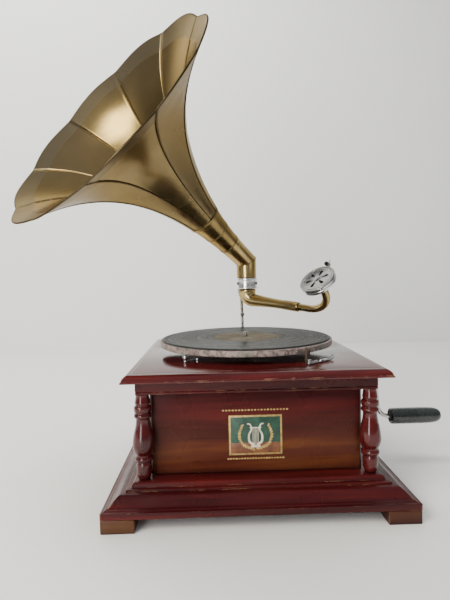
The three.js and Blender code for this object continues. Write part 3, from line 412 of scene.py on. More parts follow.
class Paint:  # short ways to wire a finish
    def __init__(self, material):
        self.tree = material.node_tree
        self.place = self.node("ShaderNodeTexCoord").outputs["Object"]

    def node(self, kind, **settings):
        made = self.tree.nodes.new(kind)
        for key, value in settings.items():
            setattr(made, key, value)
        return made

    def link(self, source, target):
        self.tree.links.new(source, target)

    def shifted(self, scale=(1, 1, 1), move=(0, 0, 0), turn=(0, 0, 0)):
        made = self.node("ShaderNodeMapping")
        made.inputs["Scale"].default_value = scale
        made.inputs["Location"].default_value = move
        made.inputs["Rotation"].default_value = turn
        self.link(self.place, made.inputs["Vector"])
        return made.outputs[0]

    def noise(self, scale, detail=4, rough=0.55, where=None, distort=0.0):
        made = self.node("ShaderNodeTexNoise")
        made.inputs["Scale"].default_value = scale
        made.inputs["Detail"].default_value = detail
        made.inputs["Roughness"].default_value = rough
        made.inputs["Distortion"].default_value = distort
        self.link(where or self.place, made.inputs["Vector"])
        return made.outputs["Fac"]

    def span(self, value, low, high, toLow=0.0, toHigh=1.0):
        made = self.node("ShaderNodeMapRange")
        made.interpolation_type = "SMOOTHSTEP"
        self.link(value, made.inputs["Value"])
        for key, number in zip(("From Min", "From Max", "To Min", "To Max"),
                               (low, high, toLow, toHigh)):
            made.inputs[key].default_value = number
        return made.outputs["Result"]

    def maths(self, operation, a, b):
        made = self.node("ShaderNodeMath", operation=operation)
        for socket, value in zip(made.inputs, (a, b)):
            if isinstance(value, (int, float)):
                socket.default_value = value
            else:
                self.link(value, socket)
        return made.outputs[0]

    def blend(self, amount, one, two, mode="MIX"):
        made = self.node("ShaderNodeMix", data_type="RGBA", blend_type=mode)
        for socket, value in ((made.inputs[0], amount), (made.inputs[6], one),
                              (made.inputs[7], two)):
            if isinstance(value, (int, float)):
                socket.default_value = value
            elif isinstance(value, tuple):
                socket.default_value = (*value, 1)
            else:
                self.link(value, socket)
        return made.outputs[2]

    def bump(self, height, strength, distance, under=None):
        made = self.node("ShaderNodeBump")
        made.inputs["Strength"].default_value = strength
        made.inputs["Distance"].default_value = distance
        self.link(height, made.inputs["Height"])
        if under:
            self.link(under, made.inputs["Normal"])
        return made.outputs["Normal"]

    def edges(self, radius):  # 1 on worn corners, 0 on flats
        bevel = self.node("ShaderNodeBevel", samples=4)
        bevel.inputs["Radius"].default_value = radius
        normal = self.node("ShaderNodeNewGeometry").outputs["Normal"]
        dot = self.node("ShaderNodeVectorMath", operation="DOT_PRODUCT")
        self.link(bevel.outputs[0], dot.inputs[0])
        self.link(normal, dot.inputs[1])
        return self.span(dot.outputs["Value"], 0.98, 0.86)

    def shadeInHollows(self, distance):  # the mask for painted shade: 1 deep in a corner, 0 in the open, from ambient occlusion
        made = self.node("ShaderNodeAmbientOcclusion", samples=6)
        made.inputs["Distance"].default_value = distance
        return self.span(made.outputs["AO"], 0.85, 0.25)

    def attribute(self, name):
        return self.node("ShaderNodeAttribute", attribute_name=name).outputs["Fac"]

    def axisPart(self, axis):
        made = self.node("ShaderNodeSeparateXYZ")
        self.link(self.place, made.inputs[0])
        return made.outputs[axis]


woodLook = {
    "deepRed": (0.026, 0.0028, 0.0034),
    "warmRed": (0.092, 0.0095, 0.0090),
    "brown": (0.130, 0.044, 0.012),
    "bareWood": (0.42, 0.22, 0.11),
    # near black: grime in the pores, and painted shade in the hollows
    "grime": (0.010, 0.003, 0.003),
}


# stained and polished mahogany with its grain along one axis
def woodFinish(name, along, wear=0.5, fade=0.0, rough=(0.26, 0.42), coat=0.10, red=1.0,
               warmth=None, shine=0.25):
    material, shader = newFinish(name, coat=coat, coatRoughness=0.09)
    shader.inputs["Specular IOR Level"].default_value = shine
    p = Paint(material)
    stretch, fine = [34, 34, 34], [260, 260, 260]
    stretch["xyz".index(along)] = 2.2  # the grain is long one way
    fine["xyz".index(along)] = 9
    figure = p.noise(1.0, 5, 0.6, p.shifted(tuple(stretch)), 0.6)
    pores = p.noise(1.0, 3, 0.6, p.shifted(tuple(fine)))
    clouds = p.noise(7.0, 3)
    look = woodLook
    warm = warmth or tuple(c * red for c in look["warmRed"])
    base = p.blend(p.span(figure, 0.36, 0.66), look["deepRed"], warm)
    base = p.blend(p.span(clouds, 0.4, 0.75, 0, 0.55), base, look["deepRed"])
    if fade:  # the red stain is worn to brown low on the panel
        low = p.span(p.axisPart("Z"), 0.108, 0.045, 0.0, fade)
        low = p.maths("MULTIPLY", low, p.span(clouds, 0.30, 0.62, 0.55, 1.0))
        base = p.blend(low, base, p.blend(p.span(figure, 0.4, 0.7), (0.07, 0.018, 0.010),
                                          look["brown"]))
    base = p.blend(p.span(pores, 0.60, 0.72, 0, 0.55), base, look["grime"])
    # painted shade: near black laid into hollows and corners by ambient occlusion, with some grime
    base = p.blend(p.maths("MULTIPLY", p.shadeInHollows(0.007), 0.8), base, look["grime"])
    patchy = p.span(p.noise(55, 6, 0.7), 0.52, 0.60)
    chips = p.maths("MULTIPLY", p.edges(0.0016), patchy)  # bare wood on the corners, here and there
    chips = p.maths("MULTIPLY", chips, wear)
    base = p.blend(chips, base, look["bareWood"])
    p.link(base, shader.inputs["Base Color"])
    dull = p.span(p.noise(22, 4), 0.35, 0.7, rough[0], rough[1])
    p.link(p.maths("ADD", dull, p.maths("MULTIPLY", chips, 0.3)), shader.inputs["Roughness"])
    relief = p.bump(pores, 0.10, 0.0004)
    relief = p.bump(p.noise(16, 3), 0.12, 0.0016, relief)
    p.link(relief, shader.inputs["Normal"])
    return material


# lacquered brass, tarnished in clouds and spots, a little dented
def brassFinish(name, bright, brown, tarnish=0.4, rough=(0.16, 0.34), dents=0.2, rim=0.0):
    material, shader = newFinish(name, metallic=1.0)
    shader.inputs["Specular Tint"].default_value = (0.56, 0.50, 0.41, 1)
    p = Paint(material)
    clouds = p.noise(11, 4, 0.6, None, 0.5)
    spots = p.noise(58, 6, 0.72)
    haze = p.maths("ADD", clouds, p.maths("MULTIPLY", p.attribute("tone"), 0.42))
    base = p.blend(p.span(haze, 0.34, 0.86, 0, tarnish), bright, brown)
    base = p.blend(p.span(spots, 0.58, 0.78, 0, 0.4), base, tuple(c * 0.5 for c in brown))
    if rim:  # browner towards the rim, with a paler band outside the crease
        along = p.attribute("along")
        base = p.blend(p.span(along, 0.5, 1.0, 0, rim), base, (0.265, 0.205, 0.135))
        band = p.span(along, 0.934, 0.944)
        base = p.blend(p.maths("MULTIPLY", band, 0.6), base, (0.27, 0.235, 0.17))
    # painted shade: dark brown laid into hollows and crevices by ambient occlusion, with the dark
    # of solder there
    base = p.blend(p.maths("MULTIPLY", p.shadeInHollows(0.006), 0.75), base, (0.055, 0.036, 0.016))
    p.link(base, shader.inputs["Base Color"])
    smear = p.noise(1.0, 3, 0.5, p.shifted((9, 16, 12)))
    shine = p.span(p.maths("ADD", smear, p.maths("MULTIPLY", clouds, 0.5)), 0.5, 1.0,
                   rough[0], rough[1])
    if rim:
        shine = p.maths("ADD", shine, p.maths("MULTIPLY", band, 0.10))
    p.link(shine, shader.inputs["Roughness"])
    relief = p.bump(p.noise(14, 2, 0.4), dents, 0.0035)
    relief = p.bump(p.noise(420, 3, 0.6), 0.05, 0.0003, relief)
    p.link(relief, shader.inputs["Normal"])
    return material


# plated or plain steel, stained in patches, with dirt and painted shade in the corners
def platedFinish(name, colour, rough=(0.07, 0.2), stain=0.25, pits=0.06):
    material, shader = newFinish(name, metallic=1.0)
    p = Paint(material)
    clouds = p.noise(60, 4)
    base = p.blend(p.span(clouds, 0.45, 0.8, 0, stain), colour,
                   tuple(c * f for c, f in zip(colour, (0.55, 0.52, 0.46))))
    # painted shade: near black laid into the corners by ambient occlusion, with some dirt
    base = p.blend(p.maths("MULTIPLY", p.shadeInHollows(0.003), 0.7), base, (0.05, 0.047, 0.04))
    p.link(base, shader.inputs["Base Color"])
    p.link(p.span(p.noise(160, 4), 0.35, 0.75, rough[0], rough[1]), shader.inputs["Roughness"])
    p.link(p.bump(p.noise(700, 3), pits, 0.0003), shader.inputs["Normal"])
    return material


def recordFinish(centre):  # rings in the shellac, long highlights across them and a paper label
    material, shader = newFinish("Shellac record")
    shader.inputs["Specular IOR Level"].default_value = 0.10
    shader.inputs["IOR"].default_value = 1.17
    shader.inputs["Anisotropic"].default_value = 0.6
    p = Paint(material)
    local = p.shifted(move=(-centre[0] * mm, -centre[1] * mm, 0))
    split = p.node("ShaderNodeSeparateXYZ")
    p.link(local, split.inputs[0])
    squareSum = p.maths("ADD", p.maths("MULTIPLY", split.outputs[0], split.outputs[0]),
                        p.maths("MULTIPLY", split.outputs[1], split.outputs[1]))
    radius = p.maths("SQRT", squareSum, 0)
    turn = p.node("ShaderNodeCombineXYZ")
    p.link(p.maths("MULTIPLY", split.outputs[1], -1.0), turn.inputs[0])
    p.link(split.outputs[0], turn.inputs[1])
    p.link(turn.outputs[0], shader.inputs["Tangent"])
    rings = p.node("ShaderNodeCombineXYZ")
    p.link(radius, rings.inputs[0])
    bands = p.noise(150, 5, 0.75, rings.outputs[0])
    clouds = p.noise(9, 3)
    vinyl = p.blend(p.span(bands, 0.38, 0.66), (0.010, 0.011, 0.012), (0.030, 0.033, 0.034))
    vinyl = p.blend(p.span(clouds, 0.4, 0.8, 0, 0.4), vinyl, (0.036, 0.040, 0.037))
    paper = p.blend(p.span(p.noise(60, 4), 0.35, 0.7), (0.105, 0.088, 0.062),
                    (0.150, 0.130, 0.096))
    inside = p.span(radius, 0.0500, 0.0488)  # 1 on the label
    ring = p.maths("MULTIPLY", p.span(radius, 0.0455, 0.0462), p.span(radius, 0.0478, 0.0471))
    paper = p.blend(p.maths("MULTIPLY", ring, 0.6), paper, (0.045, 0.040, 0.032))
    p.link(p.blend(inside, vinyl, paper), shader.inputs["Base Color"])
    gloss = p.maths("ADD", p.span(bands, 0.3, 0.7, 0.20, 0.34), p.maths("MULTIPLY", inside, 0.22))
    p.link(gloss, shader.inputs["Roughness"])
    grooves = p.node("ShaderNodeTexWave", wave_type="BANDS", bands_direction="X")
    grooves.inputs["Scale"].default_value = 230
    p.link(rings.outputs[0], grooves.inputs["Vector"])
    height = p.maths("MULTIPLY", grooves.outputs["Fac"], p.maths("SUBTRACT", 1.0, inside))
    p.link(p.bump(height, 0.25, 0.0002), shader.inputs["Normal"])
    return material


def platterFinish():  # mottled enamel on the rim
    material, shader = newFinish("Mottled platter")
    p = Paint(material)
    patches = p.noise(150, 6, 0.75)
    grains = p.noise(320, 4, 0.6)
    base = p.blend(p.span(patches, 0.40, 0.60), (0.065, 0.048, 0.041), (0.30, 0.225, 0.205))
    base = p.blend(p.span(p.noise(40, 4), 0.50, 0.68, 0, 0.75), base, (0.125, 0.135, 0.100))
    base = p.blend(p.span(grains, 0.60, 0.72, 0, 0.8), base, (0.42, 0.37, 0.34))
    base = p.blend(p.span(grains, 0.40, 0.30, 0, 0.8), base, (0.035, 0.028, 0.025))
    p.link(base, shader.inputs["Base Color"])
    p.link(p.span(patches, 0.35, 0.7, 0.42, 0.75), shader.inputs["Roughness"])
    p.link(p.bump(grains, 0.55, 0.0008), shader.inputs["Normal"])
    return material


def gripFinish():
    material, shader = newFinish("Painted grip", coat=0.5, coatRoughness=0.16)
    p = Paint(material)
    clouds = p.noise(60, 4)
    base = p.blend(p.span(clouds, 0.4, 0.7), (0.006, 0.010, 0.009), (0.014, 0.020, 0.018))
    wear = p.maths("MULTIPLY", p.edges(0.0012), p.span(p.noise(120, 5), 0.5, 0.62))
    p.link(p.blend(wear, base, (0.10, 0.085, 0.06)), shader.inputs["Base Color"])
    p.link(p.span(p.noise(150, 4), 0.35, 0.7, 0.22, 0.42), shader.inputs["Roughness"])
    p.link(p.bump(p.noise(260, 3), 0.10, 0.0004), shader.inputs["Normal"])
    return material


# one colour clouding into another, for everything plain
def matteFinish(name, dark, light, scale=80, rough=0.7, grain=0.3, metallic=0.0):
    material, shader = newFinish(name, metallic=metallic)
    p = Paint(material)
    spots = p.noise(scale, 5, 0.6)
    p.link(p.blend(p.span(spots, 0.35, 0.68), dark, light), shader.inputs["Base Color"])
    p.link(p.span(spots, 0.3, 0.7, rough - 0.1, rough + 0.1), shader.inputs["Roughness"])
    p.link(p.bump(p.noise(scale * 5, 3), grain, 0.0004), shader.inputs["Normal"])
    return material


finishes = {
    "railX": woodFinish("Mahogany along x", "x", wear=0.5, shine=0.18, red=0.85),
    "railY": woodFinish("Mahogany along y", "y", wear=0.5, shine=0.18, red=0.85),
    "upright": woodFinish("Turned mahogany", "z", wear=0.12, rough=(0.14, 0.26), coat=0.35,
                          red=1.2),
    "foot": woodFinish("Worn foot", "x", wear=1.0, rough=(0.3, 0.5), coat=0.0,
                       warmth=(0.075, 0.030, 0.010)),
    "frontPanel": woodFinish("Front panel mahogany", "x", wear=0.15, fade=0.95, coat=0.03,
                             shine=0.12, red=0.8),
    "sidePanel": woodFinish("Side panel mahogany", "y", wear=0.15, fade=0.7, coat=0.04),
    "deck": woodFinish("Deck mahogany", "x", wear=0.5, rough=(0.10, 0.20), coat=0.12, shine=0.35),
    "deal": matteFinish("Bare softwood", (0.20, 0.12, 0.06), (0.34, 0.22, 0.12), 30, 0.8),
    # the inside is painted lighter than the outside of the same brass sheet: painted light, as the
    # light falls into the bowl
    "hornOutside": brassFinish("Horn brass outside", (0.34, 0.255, 0.110), (0.20, 0.148, 0.078),
                               tarnish=0.95, rough=(0.19, 0.30), dents=0.09, rim=0.7),
    "hornInside": brassFinish("Horn brass inside", (0.46, 0.33, 0.115), (0.27, 0.185, 0.075),
                              tarnish=0.85, rough=(0.17, 0.26), dents=0.08, rim=0.5),
    "seamBrass": brassFinish("Seam brass", (0.40, 0.29, 0.12), (0.16, 0.11, 0.06),
                             tarnish=0.9, rough=(0.2, 0.35), dents=0.05),
    "darkSeamAndShadow": brassFinish("Dark seam and shadow", (0.10, 0.075, 0.045), (0.045, 0.034, 0.024),
                            tarnish=0.9, rough=(0.3, 0.45), dents=0.05),
    # one brass painted two ways: the cone darker as painted shade, the elbow lighter as painted
    # light
    "coneBrassShaded": brassFinish("Shaded cone brass", (0.42, 0.30, 0.12), (0.16, 0.11, 0.05),
                             tarnish=0.85, rough=(0.16, 0.3), dents=0.12),
    "pipeBrassLit": brassFinish("Lit pipe brass", (0.62, 0.46, 0.20), (0.25, 0.17, 0.08),
                             tarnish=0.85, rough=(0.20, 0.36), dents=0.15),
    "armBrass": brassFinish("Arm brass", (0.47, 0.36, 0.165), (0.20, 0.145, 0.065),
                            tarnish=0.8, rough=(0.22, 0.38), dents=0.10),
    "chrome": platedFinish("Bright plating", (0.74, 0.75, 0.75)),
    "satin": platedFinish("Satin plating", (0.30, 0.30, 0.295), (0.22, 0.36), 0.5, 0.12),
    "brushed": platedFinish("Brushed plating", (0.92, 0.92, 0.91), (0.20, 0.30), 0.1, 0.05),
    "crankPlating": platedFinish("Crank plating", (0.66, 0.65, 0.62), (0.1, 0.24), 0.4),
    "nickel": platedFinish("Dull nickel", (0.50, 0.48, 0.44), (0.2, 0.36), 0.5),
    "steel": platedFinish("Turned steel", (0.48, 0.48, 0.47), (0.22, 0.4), 0.3),
    "blued": platedFinish("Blued spring steel", (0.15, 0.18, 0.27), (0.25, 0.4), 0.4),
    "blackened": platedFinish("Blackened steel", (0.045, 0.043, 0.04), (0.3, 0.45), 0.3),
    "iron": matteFinish("Cast iron", (0.03, 0.03, 0.032), (0.07, 0.07, 0.072), 120, 0.6, 0.5, 0.6),
    "record": recordFinish((-3.0, 0.0)),
    "platter": platterFinish(),
    "grip": gripFinish(),
    "mica": matteFinish("Mica", (0.10, 0.085, 0.06), (0.19, 0.16, 0.12), 90, 0.35, 0.1),
    "leather": matteFinish("Brake leather", (0.035, 0.022, 0.014), (0.07, 0.045, 0.028),
                           200, 0.75),
    "gilt": matteFinish("Gilt transfer", (0.34, 0.22, 0.07), (0.58, 0.42, 0.16),
                        260, 0.42, 0.1, 0.5),
    "plaqueGreen": matteFinish("Plaque green", (0.008, 0.035, 0.022), (0.018, 0.070, 0.040),
                               130, 0.4),
    "plaqueBrown": matteFinish("Plaque brown", (0.10, 0.030, 0.012), (0.20, 0.075, 0.028),
                               130, 0.4),
    "plaqueCream": matteFinish("Plaque cream", (0.50, 0.45, 0.34), (0.68, 0.62, 0.50), 200, 0.45),
}
print("finishes ready:", len(finishes))


cabinet = {
    "baseHalf": 180.0, "railInner": 118.0, "plinthTop": 27.0, "gap": 0.3,
    "footSide": 38.0, "footHeight": 16.0, "boardThick": 8.0,
    "boxHalf": 126.5, "panelThick": 9.0, "wallTop": 145.5,
    "ear": 2.9,  # how far the front and back panels run in behind the columns
    "crankHole": (5.0, 112.0, 5.1),  # y, z and radius in the right panel
    "friezeHalf": 143.5, "friezeInner": 126.8, "friezeFoot": 129.5,
    "lipHalf": 158.2, "deckTop": 156.1,
    "deckHoles": [(-3, 0, 5.1), (84.46, -106.1, 3.0), (-72.12, -71.57, 3.0)],  # x, y and radius
    "columnAt": 136.1, "columnFoot": 27.3, "columnLength": 101.9, "columnRadius": 12.9,
}
sides = ["front", "right", "back", "left"]
corners = {"front_left": (-1, -1), "front_right": (1, -1), "back_right": (1, 1),
           "back_left": (-1, 1)}


def camel(text):  # a CAD node's name as a piece's name
    head, *rest = text.split("_")
    return head + "".join(word.capitalize() for word in rest)


def mitredRail(profile, side):  # one side of a square frame, its ends cut at 45 degrees
    gap = cabinet["gap"]
    turn = Matrix.Rotation(side * math.pi / 2, 4, "Z")
    count = len(profile)
    verts = []
    for way in (-1, -0.5, 0, 0.5, 1):
        verts += [(way * (out - gap), -out, z) for out, z in profile]
    faces = [tuple(range(count)), tuple(range(4 * count, 5 * count))]
    for ring in range(4):
        a = ring * count
        faces += [(a + k, a + (k + 1) % count, a + count + (k + 1) % count, a + count + k)
                  for k in range(count)]
    return moved((verts, faces), turn)


def plinthOutline():
    c = cabinet
    edge, top = c["baseHalf"], c["plinthTop"]
    points = [(c["railInner"], 0), (edge, 0), (edge, 7.2), (edge - 0.8, 7.5), (edge - 2.6, 7.5),
              (edge - 3.6, 7.9), (edge - 4.5, 8.7)]
    for i in range(1, 21):
        t = i / 20
        points.append((edge - 4.5 - 15.5 * t, 8.7 + 10.8 * t * t * (3 - 2 * t)))
    points += [(155.5, 19.5), (155.5, 21.1), (154.9, 21.9), (149.6, 21.9)]
    for i in range(1, 10):
        a = i / 9 * math.pi / 2
        points.append((149.5 - 3.57 * (1 - math.cos(a)), 21.9 + 5.1 * math.sin(a)))
    return softened(points + [(c["railInner"], top)], 0.45)


def makePlinthAndFrieze():
    foot, edge = cabinet["friezeFoot"], cabinet["friezeHalf"]
    inner, top = cabinet["friezeInner"], cabinet["wallTop"] - cabinet["gap"]
    frieze = softened([(inner, foot), (edge, foot), (edge, foot + 2.4), (edge - 0.9, foot + 3.0),
                       (edge, foot + 3.7), (edge, top), (inner, top)], 0.5)
    for i, side in enumerate(sides):
        wood = finishes["railX" if i % 2 == 0 else "railY"]
        rail = addPiece(camel(f"plinth_{side}"), *mitredRail(plinthOutline(), i), sharp=24)
        settle(rail, "cabinet", "mahogany", wood, f"plinth_{side}")
        band = addPiece(camel(f"frieze_{side}"), *mitredRail(frieze, i), sharp=30)
        settle(band, "cabinet", "mahogany", wood, f"frieze_{side}")


def makeFeetAndBottom():
    c = cabinet
    for corner, (sx, sy) in corners.items():
        outer, inner = c["baseHalf"], c["baseHalf"] - c["footSide"]
        xs, ys = sorted((sx * outer, sx * inner)), sorted((sy * outer, sy * inner))
        shape = block((xs[0], ys[0], -c["footHeight"]), (xs[1], ys[1], -c["gap"]))
        foot = addPiece(camel(f"foot_{corner}"), *shape, bevel=1.1)
        settle(foot, "cabinet", "mahogany", finishes["foot"], f"foot_{corner}")
    half = c["railInner"] - c["gap"]
    board = addPiece("bottomBoard", *block((-half, -half, 0), (half, half, c["boardThick"])),
                     bevel=0.5)
    settle(board, "cabinet", "deal", finishes["deal"], "bottom_board")


def makePanels():
    c = cabinet
    gap, half = c["gap"], c["boxHalf"]
    low, high = c["plinthTop"] + gap, c["wallTop"] - gap
    inner = half - c["panelThick"]
    ear, shelf = half + c["ear"], half - 3.0
    outline = [(-half, -half), (half, -half), (half + 0.4, 0.4 - half), (ear, -shelf),
               (ear, -inner), (-ear, -inner), (-ear, -shelf), (-half - 0.4, 0.4 - half)]
    shapes = {
        "front": prism(outline, low, high),
        "back": prism([(x, -y) for x, y in outline], low, high),
        "left": block((-half, gap - inner, low), (-inner, inner - gap, high)),
        "right": block((inner, gap - inner, low), (half, inner - gap, high)),
    }
    for side, shape in shapes.items():
        panel = addPiece(camel(f"panel_{side}"), *shape, bevel=0.4)
        if side == "right":
            y, z, radius = c["crankHole"]
            cut(panel, rod((inner - 2, y, z), (half + 2, y, z), radius))
        wood = finishes["frontPanel" if side in ("front", "back") else "sidePanel"]
        settle(panel, "cabinet", "mahogany_panel", wood, f"panel_{side}")


columnShape = [  # radius and height of the turning; a repeated point makes a crisp step
    [(6.3, 0.0), (7.4, 1.8), (8.7, 6.0), (9.1, 12.5), (9.0, 17.0), (8.0, 20.9)],
    [(8.0, 20.9), (8.1, 21.3)],
    [(8.1, 21.3), (10.2, 22.2), (10.9, 24.0), (10.9, 25.4), (10.3, 27.0)],
    [(10.3, 27.0), (9.2, 27.6), (9.2, 28.2)],
    [(9.2, 28.2), (9.7, 30.4), (11.6, 34.2), (12.7, 38.4), (12.9, 41.8), (12.4, 47.6),
     (11.2, 54.6), (9.6, 61.5), (8.5, 68.0), (8.2, 72.8)],
    [(8.2, 72.8), (8.6, 73.6)],
    [(8.6, 73.6), (10.1, 74.6), (10.5, 76.4), (10.0, 78.2), (8.9, 79.2)],
    [(8.9, 79.2), (8.8, 80.0)],
    [(8.8, 80.0), (10.0, 81.2), (10.4, 84.0), (10.3, 86.4), (9.4, 88.0)],
    [(9.4, 88.0), (8.3, 88.6), (8.2, 89.6)],
    [(8.2, 89.6), (9.0, 90.6), (9.1, 92.0), (8.6, 95.0), (8.0, 99.0), (7.8, 101.9)],
]


def makeColumns():
    fattest, length = cabinet["columnRadius"], cabinet["columnLength"]
    profile = [(0, 0)]
    for run in columnShape:
        line = rounded([(r, h, 0) for r, h in run], 5)
        profile += [(p.x, p.y) for p in line]
    profile = [(min(r, fattest), min(max(h, 0), length)) for r, h in profile] + [(0, length)]
    for corner, (sx, sy) in corners.items():
        at = (sx * cabinet["columnAt"], sy * cabinet["columnAt"], cabinet["columnFoot"])
        column = addPiece(camel(f"column_{corner}"), *turned(profile, at, sides=48), sharp=40)
        settle(column, "cabinet", "mahogany", finishes["upright"], f"column_{corner}")


def makeTopBoard():
    c = cabinet
    half, top, low = c["lipHalf"], c["deckTop"], c["wallTop"]
    edge = [(half - 0.9, low), (half - 0.2, low + 0.3), (half, low + 1.0), (half, low + 1.9),
            (half - 0.3, low + 2.4), (half - 1.3, low + 2.4)]
    for i in range(1, 15):
        a = i / 14 * math.pi / 2
        edge.append((half - 1.2 - 10.8 * (1 - math.cos(a)), low + 2.4 + 7.7 * math.sin(a)))
    edge += [(half - 12.5, top - 0.4), (half - 13.4, top)]
    signs = [(-1, -1), (1, -1), (1, 1), (-1, 1)]
    verts = [(sx * out, sy * out, z) for out, z in edge for sx, sy in signs]
    faces = [(0, 1, 2, 3), tuple(range(len(verts) - 4, len(verts)))]
    for i in range(len(edge) - 1):
        faces += [(4 * i + k, 4 * i + (k + 1) % 4, 4 * i + 4 + (k + 1) % 4, 4 * i + 4 + k)
                  for k in range(4)]
    board = addPiece("topBoard", verts, faces, sharp=26)
    cut(board, *[rod((x, y, 140), (x, y, 160), radius) for x, y, radius in c["deckHoles"]])
    resharpen(board, 26)
    settle(board, "cabinet", "mahogany_deck", finishes["deck"], "top_board")


makePlinthAndFrieze()
makeFeetAndBottom()
makePanels()
makeColumns()
makeTopBoard()
print("cabinet built")


plaque = {
    "middle": (-1.5, 72.5), "width": 65.0, "height": 49.0, "face": -126.5,
    "frame": 2.2, "leaves": 13, "lozenges": 21, "lineWidth": 78.0,
}


def makePlaque():
    p = plaque
    cx, cz = p["middle"]
    w, h, y = p["width"] / 2, p["height"] / 2, p["face"]
    def sheet(name, x0, z0, x1, z1, lift, finish):
        shape = block((x0, y - lift, z0), (x1, y + 0.2, z1))
        return settle(addPiece(name, *shape, bevel=0.06, segments=2), "cabinet",
                      "mahogany_panel", finishes[finish])
    sheet("plaqueFrame", cx - w, cz - h, cx + w, cz + h, 0.25, "gilt")
    f = p["frame"]
    sheet("plaqueField", cx - w + f, cz - h + f, cx + w - f, cz + h - f, 0.34, "plaqueGreen")
    sheet("plaqueGround", cx - w + f, cz - h + f, cx + w - f, cz - h + f + 13, 0.42, "plaqueBrown")
    motif = []
    for s in (-1, 1):  # the two arms of a lyre
        arm = rounded([(cx + s * 2, 0, cz - 12), (cx + s * 7.5, 0, cz - 8), (cx + s * 8, 0, cz),
                       (cx + s * 5, 0, cz + 7), (cx + s * 6.5, 0, cz + 13),
                       (cx + s * 10, 0, cz + 14)], 6)
        motif.append(tube(arm, [1.5 - 0.8 * i / (len(arm) - 1) for i in range(len(arm))], 10))
    motif.append(rod((cx - 7, 0, cz + 9), (cx + 7, 0, cz + 9), 0.7, 10))
    motif.append(rod((cx - 5.5, 0, cz - 14), (cx + 5.5, 0, cz - 14), 1.5, 10))
    for k in range(5):
        x = cx - 3.2 + 1.6 * k
        motif.append(rod((x, 0, cz - 12), (x, 0, cz + 9), 0.26, 6))
    verts, faces = joined(*motif)
    verts = [(x, y - 0.45 + q * 0.22, z) for x, q, z in (tuple(v) for v in verts)]
    settle(addPiece("plaqueLyre", verts, faces), "cabinet", "mahogany_panel",
           finishes["plaqueCream"])
    tree, sockets = motifTree()
    for s, name in ((-1, "plaqueSprayLeft"), (1, "plaqueSprayRight")):
        stem = rounded([(cx + s * 3, y - 0.45, cz - 17), (cx + s * 15, y - 0.45, cz - 12),
                        (cx + s * 20, y - 0.45, cz), (cx + s * 16, y - 0.45, cz + 12)], 8)
        spray = lineObject(name, stem)
        runTree(spray, tree, sockets, {
            "Motifs": p["leaves"], "Length": 5.2 * mm, "Width": 2.4 * mm, "Lean": 0.75,
            "Thickness": 0.3 * mm, "Seed": 3, "Finish": finishes["gilt"]})
        settle(spray, "cabinet", "mahogany_panel", finishes["gilt"])
    for name, z, width in (("giltLineAbove", 103.4, p["lineWidth"]),
                           ("giltLineBelow", 43.4, p["lineWidth"] * 0.86)):
        line = lineObject(name, [(cx - width / 2, y - 0.1, z), (cx + width / 2, y - 0.1, z)])
        runTree(line, tree, sockets, {
            "Motifs": p["lozenges"], "Length": 2.9 * mm, "Width": 2.2 * mm, "Lean": 0.0,
            "Thickness": 0.3 * mm, "Seed": 5, "Finish": finishes["gilt"]})
        settle(line, "cabinet", "mahogany_panel", finishes["gilt"])


makePlaque()
print("plaque built")


turntable = {
    "x": -3.0, "radius": 125.5, "low": 167.1, "top": 175.1, "bore": 3.6,
    "recordRadius": 122.5, "recordTop": 177.1, "deadWax": 49.5, "label": 44.0,
}


def makeTurntable():
    t = turntable
    at = (t["x"], 0, 0)
    r, low, top = t["radius"], t["low"], t["top"]
    platter = softened([
        (t["bore"], top), (r - 0.4, top), (r, top - 0.9), (r, low + 1.0), (r - 0.9, low),
        (r - 4, low), (r - 4, top - 3), (14, top - 3), (12, low + 1), (t["bore"], low + 1),
    ], 0.6)
    settle(addPiece("platter", *turned(platter, at, sides=160, closed=True), sharp=50),
           "turntable", "platter_enamel", finishes["platter"], "platter")
    r, under, top = t["recordRadius"], t["top"] + 0.3, t["recordTop"]
    disc = [(t["bore"], under), (r - 1.2, under), (r - 0.2, under + 0.35), (r, under + 0.8),
            (r - 0.5, top - 0.35), (r - 1.8, top - 0.05), (r - 3.4, top - 0.1),
            (r - 5, top - 0.3), (t["deadWax"] + 2, top - 0.3), (t["deadWax"] + 0.6, top - 0.42),
            (t["label"] + 1.2, top - 0.42), (t["label"], top - 0.2), (t["label"] - 1, top - 0.12),
            (t["bore"] + 0.6, top - 0.1), (t["bore"], top - 0.3)]
    settle(addPiece("record", *turned(disc, at, sides=192, closed=True), sharp=50),
           "turntable", "record", finishes["record"], "record")


makeTurntable()
print("turntable built")


levers = {
    "brakeAt": (84.46, -106.1), "brakeTurn": 39.5, "speedAt": (-72.12, -71.57),
    "speedTurn": -134.0, "foot": 156.7,
}


